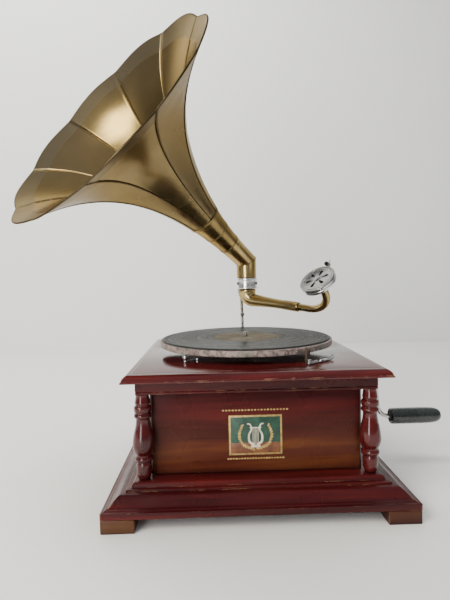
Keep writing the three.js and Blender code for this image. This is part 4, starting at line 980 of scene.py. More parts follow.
def makeLevers():
    c = levers
    place = Matrix.Translation((*c["brakeAt"], c["foot"])) @ Matrix.Rotation(
        math.radians(c["brakeTurn"]), 4, "Z")
    plate = [(-27, -2.2), (-24, -3.6), (12, -3.6), (18, -2.6), (19.5, 0), (18, 2.6), (12, 3.6),
             (-24, 3.6), (-27, 2.2)]
    settle(addPiece("brakePlate", *moved(prism(plate, 0, 1.8), place), bevel=0.35),
           "brake_lever", "chrome", finishes["chrome"], "brake_lever")
    curlA = rounded([(16, -1.6, 1.2), (20, -2.4, 1.6), (23.5, -2.2, 3.0), (24.0, -0.8, 4.4),
                     (22.2, 0.0, 4.2)], 8)
    curlB = rounded([(16, 1.4, 1.3), (20, 1.2, 3.0), (24.0, 0.8, 5.6), (27.0, 0.4, 4.8),
                     (27.6, 0.0, 3.0)], 8)
    stud = [(0, 0), (2.4, 0), (2.4, 0.5), (1.5, 1.0), (1.5, 3.2), (2.6, 3.8), (2.7, 5.0),
            (2.0, 5.9), (0, 6.1)]
    pivot = [(0, -11.2), (2.4, -11.2), (2.4, 0), (4.6, 0.2), (4.6, 2.6), (3.8, 3.4), (3.4, 4.0),
             (0, 4.3)]
    shapes = joined(tube(curlA, 0.9, 12), tube(curlB, 0.9, 12),
                    turned(stud, (-23.5, 0, 0.2), sides=28), turned(pivot, sides=36))
    settle(addPiece("brakeFittings", *moved(shapes, place)), "brake_lever", "chrome",
           finishes["chrome"])
    arm = moved(block((-16, 3.2, 0.2), (-11, 9.4, 1.8)), place)
    settle(addPiece("brakeArm", *arm, bevel=0.3), "brake_lever", "chrome", finishes["chrome"])
    pad = moved(block((-17, 8.8, 0.3), (-10, 11.8, 15.2)), place)
    settle(addPiece("brakePad", *pad, bevel=0.7), "brake_lever", "chrome", finishes["leather"])
    place = Matrix.Translation((*c["speedAt"], c["foot"])) @ Matrix.Rotation(
        math.radians(c["speedTurn"]), 4, "Z")
    bar = [(-3, -1.6), (2, -2.2), (20, -1.3), (22, 0), (20, 1.3), (2, 2.2), (-3, 1.6)]
    settle(addPiece("speedBar", *moved(prism(bar, 0.1, 1.7), place), bevel=0.3),
           "speed_lever", "chrome", finishes["chrome"], "speed_lever")
    knob = [(0, 0), (2.0, 0), (2.0, 1.6), (1.6, 2.2), (2.9, 3.2), (3.3, 4.6), (3.3, 7.4),
            (2.8, 8.6), (1.6, 9.0), (0, 9.0)]
    hub = [(0, -11.2), (2.4, -11.2), (2.4, 0), (4.2, 0.2), (4.2, 2.2), (3.4, 3.0), (0, 3.0)]
    shapes = joined(turned(knob, (22, 0, 0), sides=32), turned(hub, sides=32))
    settle(addPiece("speedKnob", *moved(shapes, place)), "speed_lever", "chrome",
           finishes["chrome"])


makeLevers()
print("levers built")


crank = {
    "y": 5.0, "z": 112.0, "out": 193.4, "throw": 63.5, "flare": 4.6, "bend": 11.0,
    "lowBend": 19.0, "radius": 3.1, "innerEnd": 84.0, "gripStart": 216.0, "gripLength": 77.0,
}


def makeCrank():
    c = crank
    y, low = c["y"], c["z"] - c["throw"]
    top, foot = Vector((c["out"], y, c["z"])), Vector((c["out"] + c["flare"], y, low))
    alongX = Vector((1, 0, 0))
    arm = (top - foot).normalized()
    path = [Vector((c["innerEnd"] + 6, y, c["z"])), Vector((150, y, c["z"]))]
    path += bezier(top - alongX * c["bend"], top, top - arm * c["bend"], 14)
    path += bezier(foot + arm * c["lowBend"], foot, foot + alongX * c["lowBend"], 16)
    path += [Vector((c["gripStart"] + 30, y, low)), Vector((c["gripStart"] + 65, y, low))]
    rodPiece = addPiece("crankRod", *tube(path, c["radius"], 28))
    settle(rodPiece, "crank", "crank_plating", finishes["crankPlating"], "crank")
    teeth, outer, root = 7, 5.6, 4.2
    outline = []
    for i in range(teeth):
        for share, radius in ((0.0, root), (0.22, root), (0.34, outer), (0.62, outer),
                              (0.74, root)):
            a = (i + share) * 2 * math.pi / teeth
            outline.append((radius * math.cos(a), radius * math.sin(a)))
    pinion = moved(prism(outline, 0, 8), Matrix.Translation((c["innerEnd"], y, c["z"]))
                   @ Matrix.Rotation(math.pi / 2, 4, "Y"))
    settle(addPiece("crankPinion", *pinion, bevel=0.2), "crank", "crank_plating",
           finishes["steel"])

    bore = 3.6
    line = rounded([(11.6, 1.1, 0), (11.9, 4, 0), (12, 14, 0), (12, 38, 0), (11.8, 54, 0),
                    (11.2, 64, 0), (9.9, 70.5, 0), (7.4, 74.8, 0), (4, 76.7, 0)], 6)
    profile = [(bore, 1.4), (8.6, 1.4), (9.4, 0.4), (10.6, 0), (11.3, 0.4)]
    profile += [(p.x, p.y) for p in line]
    end = c["gripLength"]
    profile += [(0, end), (0, end - 8), (bore, end - 10)]
    body = turned(profile, (c["gripStart"], y, low), (1, 0, 0), 56, closed=True)
    settle(addPiece("crankGrip", *body, sharp=50), "crank_grip", "grip", finishes["grip"],
           "crank_grip")
    ring = softened([(bore, 0.2), (6.4, 0.2), (6.8, 0.6), (6.8, 1.2), (bore, 1.2)], 0.3)
    settle(addPiece("gripWasher", *turned(ring, (c["gripStart"], y, low), (1, 0, 0), 40, True)),
           "crank_grip", "grip", finishes["blackened"])
    plate = softened([(4.1, 0), (13.8, 0), (14, 1.0), (12.8, 1.7), (12.2, 2.3), (7, 2.4),
                      (6.4, 2.8), (4.1, 2.8)], 0.4)
    settle(addPiece("crankPlate", *turned(plate, (126.8, y, c["z"]), (1, 0, 0), 56, True)),
           "cabinet", "chrome", finishes["chrome"], "crank_plate")


makeCrank()
print("crank built")


horn = {
    "pivot": (12.0, 158.0), "cornerZ": 293.0, "azimuth": 221.8, "tilt": 35.1,
    "length": 341.0, "rimRadius": 182.0, "elbowRadius": 17.4, "wall": 1.2,
    "flareLength": 116.0,  # the horn opens slower as this grows
    "lipPower": 12,        # how late the lip turns out
    "gores": 10, "firstSeam": 18.0, "flatten": 0.022,
    "bulge": 7.31, "bulgeShape": 1.25, "bulgeStart": 7,  # petals at the rim
    "creaseAt": 13.0, "creaseDepth": 0.7, "creaseSpread": 6.0,
    "coneStart": 53.3, "coneEnd": 124.0, "collarTop": 262.5, "spigot": 14.2, "pipeWall": 1.4,
}
hornAxis = Vector((
    math.cos(math.radians(horn["tilt"])) * math.cos(math.radians(horn["azimuth"])),
    math.cos(math.radians(horn["tilt"])) * math.sin(math.radians(horn["azimuth"])),
    math.sin(math.radians(horn["tilt"]))))
hornAcross = Vector((-hornAxis.y, hornAxis.x, 0)).normalized()
hornUp = hornAxis.cross(hornAcross)
hornCorner = Vector((*horn["pivot"], horn["cornerZ"]))
hornPlace = Matrix((
    (hornAcross.x, hornUp.x, hornAxis.x, hornCorner.x),
    (hornAcross.y, hornUp.y, hornAxis.y, hornCorner.y),
    (hornAcross.z, hornUp.z, hornAxis.z, hornCorner.z), (0, 0, 0, 1)))


def flareRadius(distance):  # a catenary, with a lip turned out at the rim
    h = horn
    catenary = h["elbowRadius"] * math.cosh(distance / h["flareLength"])
    rimTurn = h["rimRadius"] - h["elbowRadius"] * math.cosh(h["length"] / h["flareLength"])
    return catenary + rimTurn * (distance / h["length"]) ** h["lipPower"]


def gorePoint(share, along, inset=0.0):  # share across one gore, along from the cone to the rim
    h = horn
    start, span = h["coneEnd"] + 0.3, h["length"] - h["coneEnd"]
    distance = start + (span - 0.3) * along
    radius = flareRadius(distance)
    hump = math.sin(math.pi * min(max(share, 0), 1))
    flat = h["flatten"] * min(1.0, along * 3) * (1 - along ** 6)
    rise = h["bulge"] * hump ** h["bulgeShape"] * along ** h["bulgeStart"]
    fromCrease = (1 - along) * span - h["creaseAt"]
    groove = h["creaseDepth"] * math.exp(-fromCrease ** 2 / h["creaseSpread"])
    radius = radius * (1 - flat * hump) + rise - groove - inset
    turn = 2 * math.pi / h["gores"] * share
    return Vector((radius * math.cos(turn), radius * math.sin(turn), distance + rise * 0.42))


def makeGores():
    across, rows = 20, 56
    for index in range(horn["gores"]):
        degrees = horn["firstSeam"] + 360 / horn["gores"] * index
        spin = Matrix.Rotation(math.radians(degrees), 4, "Z")
        verts, alongs = [], []
        for i in range(rows + 1):
            along = 1 - (1 - i / rows) ** 1.35  # rows crowd towards the rim
            for j in range(across + 1):
                verts.append(hornPlace @ spin @ gorePoint(j / across, along))
                alongs.append(along)
        faces = []
        for i in range(rows):
            for j in range(across):
                a = i * (across + 1) + j
                faces.append((a, a + 1, a + across + 2, a + across + 1))
        mesh = bpy.data.meshes.new(f"hornGore{index + 1}")
        mesh.from_pydata([tuple(p * mm) for p in verts], [], faces)
        mesh.polygons.foreach_set("use_smooth", [True] * len(mesh.polygons))
        tone = (index * 0.618034 + 0.2) % 1.0  # each gore is tarnished a little differently
        for name, values in (("along", alongs), ("tone", [tone] * len(verts))):
            made = mesh.attributes.new(name, "FLOAT", "POINT")
            made.data.foreach_set("value", values)
        middle = mesh.polygons[len(mesh.polygons) // 2]
        away = Vector(middle.center) / mm - hornCorner
        away -= hornAxis * away.dot(hornAxis)
        if middle.normal.dot(away) < 0:
            mesh.flip_normals()
        gore = linked(f"hornGore{index + 1}", mesh)
        gore.data.materials.append(finishes["hornOutside"])
        gore.data.materials.append(finishes["hornInside"])
        shell = gore.modifiers.new("sheet", "SOLIDIFY")
        shell.thickness, shell.offset = horn["wall"] * mm, -1
        shell.material_offset = 1
        settle(gore, "horn", "horn_brass", [], f"horn_gore_{index + 1}")


def makeSeams():
    tree, sockets = roundTree()
    turn = Matrix.Rotation(math.radians(horn["firstSeam"]), 4, "Z")
    lines = {  # points, bead radius and finish
        "hornSeamsOutside": ([gorePoint(0, i / 40, -0.1) for i in range(41)], 0.8, "darkSeamAndShadow"),
        "hornSeamsInside": ([gorePoint(0.01, i / 40, 1.4) for i in range(41)], 0.7, "seamBrass"),
        # a dark bead beside each inner seam: a painted shadow
        "hornSeamShadows": ([gorePoint(-0.018, i / 40, 1.1) for i in range(41)], 0.5,
                            "darkSeamAndShadow"),
        "hornRimBead": ([gorePoint(i / 24, 1, 0.6) for i in range(25)], 1.1, "darkSeamAndShadow"),
        "hornRimLine": ([gorePoint(i / 24, 0.94, 1.0) for i in range(25)], 0.42, "seamBrass"),
    }
    for name, (points, radius, finish) in lines.items():
        bead = lineObject(name, [turn @ p for p in points])
        runTree(bead, tree, sockets, {
            "Copies": horn["gores"], "Bead radius": radius * mm, "Bead sides": 10,
            "Finish": finishes[finish]})
        setDown(bead, hornPlace)
        settle(bead, "horn", "horn_brass", finishes[finish])


def makeConeAndElbow():
    h = horn
    outer = [(flareRadius(s), s) for s in
             [h["coneStart"] + (h["coneEnd"] + 1.5 - h["coneStart"]) * i / 24 for i in range(25)]]
    inner = [(r - 1.2, s) for r, s in reversed(outer)]
    cone = addPiece("hornCone", *turned(outer + inner, hornCorner, hornAxis, 80, True), sharp=50)
    settle(cone, "horn", "horn_brass", finishes["coneBrassShaded"], "horn_cone")
    rings = []
    for s, wide, thick in ((54.0, 1.6, 0.8), (89.0, 1.3, 0.6), (122.6, 2.2, 1.0)):
        r = flareRadius(s)
        shape = softened([(r - 0.6, s - wide), (r + thick * 0.7, s - wide), (r + thick, s),
                          (r + thick * 0.8, s + wide), (r - 0.4, s + wide)], 0.4)
        rings.append(turned(shape, hornCorner, hornAxis, 80, True))
    settle(addPiece("hornConeRings", *joined(*rings), sharp=50), "horn", "horn_brass",
           finishes["seamBrass"])

    count = 72
    mitre = (hornAxis + up).normalized()
    across = Vector((-mitre.y, mitre.x, 0)).normalized()
    depth = up.cross(across)
    def mitreRing(radius):  # where the upright pipe meets the horn's own
        ring = []
        for k in range(count):
            a = 2 * math.pi * k / count
            p = (across * math.cos(a) + depth * math.sin(a)) * radius
            p.z = -(p.x * mitre.x + p.y * mitre.y) / mitre.z
            ring.append(hornCorner + p)
        return ring
    def levelRing(radius, z):  # round the pivot
        return [Vector((*h["pivot"], z)) + (across * math.cos(2 * math.pi * k / count)
                + depth * math.sin(2 * math.pi * k / count)) * radius
                for k in range(count)]
    def hornRing(radius, s):  # round the horn's axis
        other = hornAxis.cross(across)
        return [hornCorner + hornAxis * s + (across * math.cos(2 * math.pi * k / count)
                + other * math.sin(2 * math.pi * k / count)) * radius
                for k in range(count)]
    def pipe(extra):
        top = h["collarTop"] + 0.3
        spigot, radius = h["spigot"] - extra, h["elbowRadius"] - extra
        rings = [levelRing(spigot, top - 10), levelRing(spigot, top)]
        rings += [levelRing(radius - 0.5, top), levelRing(radius, top + 0.7),
                  levelRing(radius, top + 8), mitreRing(radius)]
        return rings + [hornRing(flareRadius(s) - extra, s) for s in (27, 40, 53)]
    rings = pipe(0) + list(reversed(pipe(h["pipeWall"])))
    verts = [p for ring in rings for p in ring]
    faces = []
    for i in range(len(rings)):
        a, b = i * count, (i + 1) % len(rings) * count
        faces += [(a + k, a + (k + 1) % count, b + (k + 1) % count, b + k)
                  for k in range(count)]
    settle(addPiece("hornElbow", verts, faces, sharp=25), "horn", "elbow_brass",
           finishes["pipeBrassLit"], "horn_elbow")
    bead = mitreRing(h["elbowRadius"] + 0.1)
    line = bead + bead[:2]
    settle(addPiece("elbowSeam", *tube(line, 0.55, 10)), "horn", "elbow_brass",
           finishes["seamBrass"])


makeGores()
makeSeams()
makeConeAndElbow()
print("horn built")


bracket = {
    "armX": 3.0, "thick": 5.0, "footLow": 103.5, "footHigh": 138.5, "back": 143.8,
    "collarFloor": 243.0, "collarTop": 262.5, "bore": 14.7, "collar": 20.0,
    "screwHead": 3.4, "screwHeight": 1.4,
}


def makeScrews(name, spots, body, slot, finish, radius, height):
    mesh = bpy.data.meshes.new(name)
    mesh.from_pydata([tuple(Vector(at) * mm) for at, way in spots], [], [])
    turns = mesh.attributes.new("turn", "FLOAT_VECTOR", "POINT")
    for i, (at, way) in enumerate(spots):
        turns.data[i].vector = Vector(way).to_track_quat("Z", "Y").to_euler()
    obj = linked(name, mesh)
    tree, sockets = screwTree()
    runTree(obj, tree, sockets, {
        "Head radius": radius * mm, "Head height": height * mm, "Slot width": radius * 0.32 * mm,
        "Finish": finish})
    return settle(obj, body, slot, finish)


def makeBracket():
    b = bracket
    outline = [(143.8, 105.5), (149.8, 105.5), (149.8, 129.5)]
    outline += [tuple(p) for p in bezier((149.8, 129.5), (169.2, 135.5), (169.2, 160.1), 12)][1:]
    outline += [tuple(p) for p in bezier((169.2, 160.1), (169.2, 186.1), (187, 231), 16)][1:]
    outline += [(187, 259.5), (174, 259.5), (174, 246), (179, 242)]
    outline += [tuple(p) for p in bezier((179, 242), (161.2, 190.1), (161.2, 162.1), 16)][1:]
    outline += [(161.2, 140.5)]
    outline += [tuple(p) for p in bezier((161.2, 140.5), (161.2, 136.5), (143.8, 136.5), 8)][1:]
    turn = Matrix(((0, 0, 1, b["armX"] - b["thick"] / 2), (1, 0, 0, 0), (0, 1, 0, 0),
                   (0, 0, 0, 1)))
    web = addPiece("bracketArm", *moved(prism(outline, 0, b["thick"]), turn), bevel=0.8)
    settle(web, "cabinet", "bracket_nickel", finishes["nickel"], "arm_bracket")
    foot = block((b["armX"] - 16, b["back"], b["footLow"]),
                 (b["armX"] + 16, b["back"] + 5, b["footHigh"]))
    settle(addPiece("bracketFoot", *foot, bevel=1.4), "cabinet", "bracket_nickel",
           finishes["nickel"])
    low, high, r = b["collarFloor"], b["collarTop"], b["collar"]
    profile = softened([
        (b["bore"], low), (r - 0.6, low), (r, low + 0.8), (r, low + 3.4), (r - 1.3, low + 4.2),
        (r - 1.3, high - 4.2), (r, high - 3.4), (r, high - 0.8), (r - 0.6, high),
        (b["bore"], high)], 0.5)
    settle(addPiece("bracketCollar", *turned(profile, (*horn["pivot"], 0), sides=88, closed=True),
                    sharp=50), "cabinet", "bracket_nickel", finishes["brushed"])
    z = (low + high) / 2
    spots = []
    for degrees in (-152, -28, 118):
        way = Vector((math.cos(math.radians(degrees)), math.sin(math.radians(degrees)), 0))
        spots.append((Vector((*horn["pivot"], z)) + way * (r - 0.9), way))
    makeScrews("collarScrews", spots, "cabinet", "bracket_nickel", finishes["blackened"], 2.4, 1.6)
    screws = [((b["armX"] + dx, b["back"] + 5.4, 111.5), (0, 1, 0)) for dx in (-11, 11)]
    screws += [((b["armX"] + dx, b["back"] + 5.4, 131), (0, 1, 0)) for dx in (-11, 11)]
    makeScrews("footScrews", screws, "cabinet", "bracket_nickel", finishes["steel"],
               b["screwHead"], b["screwHeight"])
    knob = [(0, 0), (2.2, 0), (2.2, 1.6), (3.6, 2.2), (4.0, 3.6), (4.0, 5.6), (3.4, 6.8), (0, 7.2)]
    at = (b["armX"], 165.5, 196)
    settle(addPiece("bracketNut", *turned(knob, at, (0, -1, 0), 28)), "cabinet",
           "bracket_nickel", finishes["nickel"])


makeBracket()
print("bracket built")


arm = {
    "axisZ": 224.0, "azimuth": -40.3, "dip": 6.3, "bend": 17.0, "spigot": 14.2, "wall": 1.4,
    "sleeveEnd": 108.0, "reach": 127.0, "neckBend": 41.0, "neckTurn": 102.3, "neckLift": 47.8,
    "neckStraight": 10.0, "neckRadius": 6.0,
}
armStart = Vector((*horn["pivot"], arm["axisZ"]))
armAzimuth, armDip = math.radians(arm["azimuth"]), math.radians(arm["dip"])
armAxis = Vector((math.cos(armDip) * math.cos(armAzimuth),
                  math.cos(armDip) * math.sin(armAzimuth), -math.sin(armDip)))
armLevel = Vector((math.sin(armAzimuth), -math.cos(armAzimuth), 0))
armRise = armAxis.cross(armLevel)
if armRise.z < 0:
    armRise.negate()
lift, neckTurn = math.radians(arm["neckLift"]), math.radians(arm["neckTurn"])
neckSide = armLevel * math.cos(lift) + armRise * math.sin(lift)
neckCentre = armStart + armAxis * arm["reach"] + neckSide * arm["neckBend"]
faceAxis = armAxis * math.cos(neckTurn) + neckSide * math.sin(neckTurn)
neckEnd = (neckCentre - neckSide * arm["neckBend"] * math.cos(neckTurn)
           + armAxis * arm["neckBend"] * math.sin(neckTurn))
boxBack = neckEnd + faceAxis * arm["neckStraight"]
needleWay = (up - faceAxis * faceAxis.z).normalized()
boxSide = needleWay.cross(faceAxis)
boxPlace = Matrix((
    (boxSide.x, needleWay.x, faceAxis.x, boxBack.x),
    (boxSide.y, needleWay.y, faceAxis.y, boxBack.y),
    (boxSide.z, needleWay.z, faceAxis.z, boxBack.z), (0, 0, 0, 1)))


def makeTonearm():
    a = arm
    level = Vector((math.cos(armAzimuth), math.sin(armAzimuth), 0))
    turnAngle = math.pi / 2 - armDip
    bendTop = armStart + up * a["bend"] * math.tan(turnAngle / 2)
    low = bracket["collarFloor"]
    x, y = horn["pivot"]
    points = [Vector((x, y, low + 9.4)), Vector((x, y, low + 4)), Vector((x, y, low - 0.3))]
    radii = [a["spigot"], a["spigot"], a["spigot"]]
    points += [Vector((x, y, low - 0.35)), Vector((x, y, low - 0.9))]
    radii += [15.6, 16.1]
    steps = 14
    for i in range(steps + 1):
        turn = i / steps * turnAngle
        points.append(bendTop + level * a["bend"] * (1 - math.cos(turn))
                      - up * a["bend"] * math.sin(turn))
        radii.append(16.2 - 4.7 * (i / steps) ** 1.3)
    for s, r in ((22, 10.9), (30, 10.2), (40, 9.4), (50, 8.7), (60, 8.2), (70, 7.9), (78, 7.7)):
        points.append(armStart + armAxis * s)
        radii.append(r)
    settle(addPiece("tonearmTube", *tube(points, radii, 48, a["wall"]), sharp=60), "tonearm",
           "arm_brass", finishes["armBrass"], "tonearm")
    sleeve = [(6.5, 77), (7.9, 77), (8.15, 77.6), (8.0, 79), (7.9, 92), (8.0, 105.6), (8.3, 106.2),
              (8.3, 107.4), (8.0, 108), (6.5, 108)]
    settle(addPiece("tonearmSleeve", *turned(sleeve, armStart, armAxis, 56, True), sharp=40),
           "tonearm", "arm_brass", finishes["armBrass"])
    tree, sockets = roundTree()
    for name, spin in (("sleeveKnurlRight", 1), ("sleeveKnurlLeft", -1)):
        points = []
        for i in range(17):
            turn = spin * i / 16 * 1.25
            points.append((8.0 * math.cos(turn), 8.0 * math.sin(turn), 81 + 23 * i / 16))
        knurl = lineObject(name, points)
        runTree(knurl, tree, sockets, {
            "Copies": 14, "Bead radius": 0.26 * mm, "Bead sides": 6,
            "Finish": finishes["armBrass"]})
        place = armAxis.to_track_quat("Z", "Y").to_matrix().to_4x4()
        place.translation = armStart
        setDown(knurl, place)
        settle(knurl, "tonearm", "arm_brass", finishes["armBrass"])


def makeGooseneck():
    a = arm
    points = [armStart + armAxis * (a["sleeveEnd"] + 0.3), armStart + armAxis * (a["reach"] - 8)]
    for i in range(31):
        turn = i / 30 * neckTurn
        points.append(neckCentre - neckSide * a["neckBend"] * math.cos(turn)
                      + armAxis * a["neckBend"] * math.sin(turn))
    points.append(boxBack - faceAxis * 0.3)
    settle(addPiece("gooseneckTube", *tube(points, a["neckRadius"], 40, a["wall"]), sharp=60),
           "gooseneck", "arm_brass", finishes["armBrass"], "gooseneck")


soundbox = {
    "radius": 28.0, "depth": 12.0, "face": 1.8, "slots": 6, "slotNear": 6.6, "slotFar": 18.6,
    "slotWidth": 2.5, "seat": 8.0, "lean": 0.35, "screwAt": 5.58,
}


def petalOutline(turn):  # one petal-shaped slot of the grille
    b = soundbox
    outline = []
    for t, w in ((0, 0.20), (0.25, 0.62), (0.55, 0.95), (0.85, 1.0), (0.97, 0.6), (1.0, 0.0),
                 (0.97, -0.6), (0.85, -1.0), (0.55, -0.95), (0.25, -0.62), (0, -0.20)):
        out = b["slotNear"] + (b["slotFar"] - b["slotNear"]) * t
        side = b["slotWidth"] * w
        outline.append((out * math.cos(turn) - side * math.sin(turn),
                        out * math.sin(turn) + side * math.cos(turn)))
    return outline


def makeSoundbox():
    b = soundbox
    r, deep = b["radius"], b["depth"]
    shell = softened([
        (4.6, 0), (9.0, 0), (9.4, 1.6), (12, 2.1), (22.5, 2.6), (25.6, 3.0), (27.4, 4.2),
        (28, 5.8), (28, 8.0), (27.3, 8.5), (27.3, 9.1), (28, 9.6), (28, deep), (25.4, deep),
        (25.4, 5.4), (4.6, 4.4)], 0.5)
    settle(addPiece("soundboxShell", *moved(turned(shell, sides=96, closed=True), boxPlace),
                    sharp=40), "gooseneck", "chrome", finishes["chrome"], "soundbox_shell")
    disc = turned([(0, deep - 2.4), (24.8, deep - 2.4), (24.8, deep - 1.6), (0, deep - 1.6)],
                  sides=64)
    settle(addPiece("micaDiaphragm", *moved(disc, boxPlace)), "gooseneck", "mica",
           finishes["mica"], "diaphragm")
    low, top = deep + 0.3, deep + 0.3 + b["face"]
    face = [(0, low), (r, low), (r, top - 0.5), (r - 0.6, top), (r - 2.2, top),
            (r - 2.8, top - 0.5), (r - 4.2, top - 0.6), (r - 4.8, top - 0.25),
            (r - 6.6, top - 0.25), (r - 7.2, top - 0.55), (5.6, top - 0.55), (5.0, top - 0.2),
            (2.6, top - 0.15), (2.2, top), (0, top)]
    grille = addPiece("soundboxFace", *turned(face, sides=96), sharp=30)
    cutters = [prism(petalOutline(math.pi / 2 + k * 2 * math.pi / b["slots"]), low - 1, top + 1)
               for k in range(b["slots"])]
    cut(grille, *cutters)
    setDown(grille, boxPlace)
    resharpen(grille, 30)
    settle(grille, "gooseneck", "chrome", finishes["satin"], "soundbox_face")
    # painted shade: a near-black disc between the grille and the mica, darkening the slots
    dark = turned([(0, deep - 1.3), (23.5, deep - 1.3), (23.5, deep - 0.7), (0, deep - 0.7)],
                  sides=64)
    settle(addPiece("soundboxShadeDisc", *moved(dark, boxPlace)), "gooseneck", "mica",
           finishes["blackened"])


def makeNeedle():
    b = soundbox
    seat = boxPlace @ Matrix.Translation((0, b["radius"] + 1.3, b["seat"])) @ Matrix.Rotation(
        b["lean"], 4, "X")
    alongY = Vector((0, 1, 0))
    chuck = softened([(1.1, 9), (2.5, 9), (3.0, 8.2), (3.0, 1.4), (2.4, 0.6), (2.0, 0),
                      (0.0, 0), (0, 4.4), (1.1, 4.5)], 0.25, closed=False)
    body = turned(chuck, axis=alongY, sides=40)
    settle(addPiece("needleChuck", *moved(body, seat)), "gooseneck", "chrome",
           finishes["chrome"], "needle_chuck")
    point = turned([(0, 4.8), (0.8, 4.8), (0.8, 13.6), (0.5, 15.8), (0.08, 17.7), (0, 17.8)],
                   axis=alongY, sides=20)
    settle(addPiece("needlePoint", *moved(point, seat)), "gooseneck", "spindle_steel",
           finishes["steel"], "needle")
    head = [(0, 1.4), (1.1, 1.4), (1.1, 3.3), (3.0, 3.3), (3.2, 3.9), (3.2, 6.8), (2.6, 7.6),
            (0, 7.8)]
    screw = turned(head, (0, b["screwAt"], 0), sides=36)
    settle(addPiece("needleScrew", *moved(screw, seat)), "needle_screw", "dark_screw",
           finishes["blackened"], "needle_screw")
    tree, sockets = roundTree()
    ridges = lineObject("screwRidges", [(3.15, 0, 4.0), (3.15, 0, 6.7)])
    runTree(ridges, tree, sockets, {"Copies": 18, "Bead radius": 0.26 * mm, "Bead sides": 6,
                                    "Finish": finishes["blackened"]})
    setDown(ridges, seat @ Matrix.Translation((0, b["screwAt"], 0)))
    settle(ridges, "needle_screw", "dark_screw", finishes["blackened"])


makeTonearm()
makeGooseneck()
makeSoundbox()
makeNeedle()
print("arm and soundbox built")


motorFinishes = {
    "motor_frame": "iron", "spring_barrel": "steel", "mainspring": "blued",
    "winding_gear": "steel", "intermediate_wheel": "armBrass", "governor_shaft": "steel",
    "governor_weight_1": "armBrass", "governor_weight_2": "armBrass",
    "governor_weight_3": "armBrass", "spindle": "steel",
}
for node, finish in motorFinishes.items():
    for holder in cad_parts[node].material_slots:
        holder.material = finishes[finish]
print("motor finished")


studio = {
    "floor": (0.78, 0.77, 0.75), "wall": (0.80, 0.805, 0.80), "wallAt": 1.15, "reach": 4000,
    "roomLow": (0.13, 0.125, 0.12, 1), "roomHigh": (0.62, 0.63, 0.65, 1), "worldStrength": 0.82,
}
lights = {  # place, target, size, watts, colour, and whether polished metal shows it
    "key": ((-1.5, -1.3, 1.5), (-0.05, 0, 0.25), (1.4, 1.4), 46.0, (1.0, 0.985, 0.96), False),
    "fill": ((1.5, -1.2, 0.9), (0, 0, 0.15), (1.0, 1.0), 7.0, (0.96, 0.98, 1.0), False),
    "top": ((0.1, 0.3, 1.9), (0, 0, 0.1), (1.6, 1.2), 14.0, (1, 1, 1), False),
    "wallWash": ((-1.0, 0.5, 2.0), (-0.8, 1.15, 0.5), (1.6, 0.3), 24.0, (1, 1, 1), False),
    "panelGlow": ((-1.5, -1.3, 1.5), (-0.2, 0, 0.4), (0.8, 0.8), 26.0, (1.0, 0.92, 0.66), True),
    "window": ((-0.85, -1.75, 0.45), (0, 0.1, 0.25), (0.45, 1.1), 19.0, (1, 1, 1), True),
}
cameraView = {  # metres, radians, and millimetres of lens
    "at": (-0.04861, -0.66652, 0.26587), "yaw": -0.0245, "pitch": -0.0517, "roll": -0.0208,
    "lens": 27.06, "sensor": 36,
}


def makeStage():
    material, shader = newFinish("Pale floor")
    p = Paint(material)
    p.link(p.blend(p.noise(3), studio["floor"], tuple(c * 0.97 for c in studio["floor"])),
           shader.inputs["Base Color"])
    shader.inputs["Roughness"].default_value = 0.65
    wall, wallShader = newFinish("Pale wall")
    q = Paint(wall)
    q.link(q.blend(q.noise(2), studio["wall"], tuple(c * 0.97 for c in studio["wall"])),
           wallShader.inputs["Base Color"])
    wallShader.inputs["Roughness"].default_value = 0.9
    z, y, far = -cabinet["footHeight"] - 0.05, studio["wallAt"] / mm, studio["reach"]
    floor = addPiece("floor", [(-far, -far, z), (far, -far, z), (far, y + 5, z),
                               (-far, y + 5, z)], [(0, 1, 2, 3)])
    back = addPiece("backdrop", [(-far, y, z), (far, y, z), (far, y, 3000), (-far, y, 3000)],
                    [(3, 2, 1, 0)])
    floor.data.materials.append(material)
    back.data.materials.append(wall)


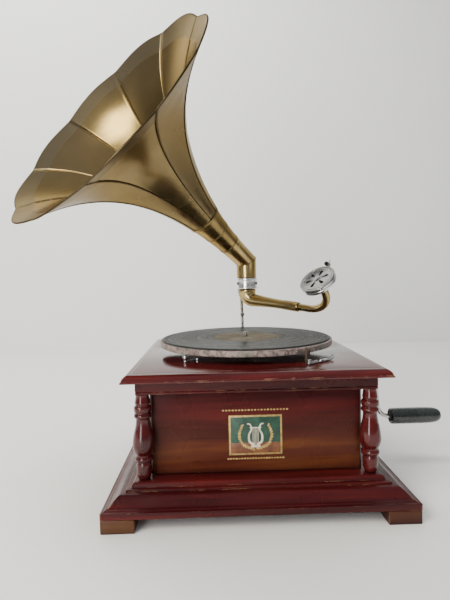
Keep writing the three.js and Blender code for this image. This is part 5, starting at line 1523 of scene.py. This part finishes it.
def addLight(name, at, target, size, power, colour, shows):
    data = bpy.data.lights.new(name, "AREA")
    data.shape = "RECTANGLE"
    data.size, data.size_y = size
    data.energy = power
    data.color = colour
    lamp = linked(name, data)
    lamp.location = at
    lamp.rotation_euler = (Vector(target) - Vector(at)).to_track_quat("-Z", "Y").to_euler()
    lamp.visible_glossy = shows


def makeLights():
    for name, settings in lights.items():
        addLight(name, *settings)


def makeRoom():  # a soft world, darker below than above
    world = bpy.data.worlds.new("room")
    bpy.context.scene.world = world
    world.use_nodes = True
    nodes, links = world.node_tree.nodes, world.node_tree.links
    back = nodes["Background"]
    back.inputs["Strength"].default_value = studio["worldStrength"]
    where = nodes.new("ShaderNodeTexCoord")
    split = nodes.new("ShaderNodeSeparateXYZ")
    ramp = nodes.new("ShaderNodeValToRGB")
    ramp.color_ramp.elements[0].color = studio["roomLow"]
    ramp.color_ramp.elements[1].color = studio["roomHigh"]
    ramp.color_ramp.elements[0].position = 0.46
    ramp.color_ramp.elements[1].position = 0.95
    half = nodes.new("ShaderNodeMath")
    half.operation = "MULTIPLY_ADD"
    half.inputs[1].default_value, half.inputs[2].default_value = 0.5, 0.5
    links.new(where.outputs["Generated"], split.inputs[0])
    links.new(split.outputs["Z"], half.inputs[0])
    links.new(half.outputs[0], ramp.inputs["Fac"])
    links.new(ramp.outputs["Color"], back.inputs["Color"])


def makeCamera():
    view = cameraView
    yaw, pitch, roll = view["yaw"], view["pitch"], view["roll"]
    ahead = Vector((-math.sin(yaw) * math.cos(pitch), math.cos(yaw) * math.cos(pitch),
                    math.sin(pitch)))
    right = Vector((math.cos(yaw), math.sin(yaw), 0))
    above = right.cross(ahead)
    rightTurned = right * math.cos(roll) + above * math.sin(roll)
    aboveTurned = above * math.cos(roll) - right * math.sin(roll)
    data = bpy.data.cameras.new("camera")
    data.lens, data.sensor_width = view["lens"], view["sensor"]
    data.clip_start = 0.01
    camera = linked("camera", data)
    back = -ahead
    camera.matrix_world = Matrix((
        (rightTurned.x, aboveTurned.x, back.x, view["at"][0]),
        (rightTurned.y, aboveTurned.y, back.y, view["at"][1]),
        (rightTurned.z, aboveTurned.z, back.z, view["at"][2]), (0, 0, 0, 1)))
    bpy.context.scene.camera = camera


makeStage()
makeLights()
makeRoom()
makeCamera()
print("stage, lights and camera set")
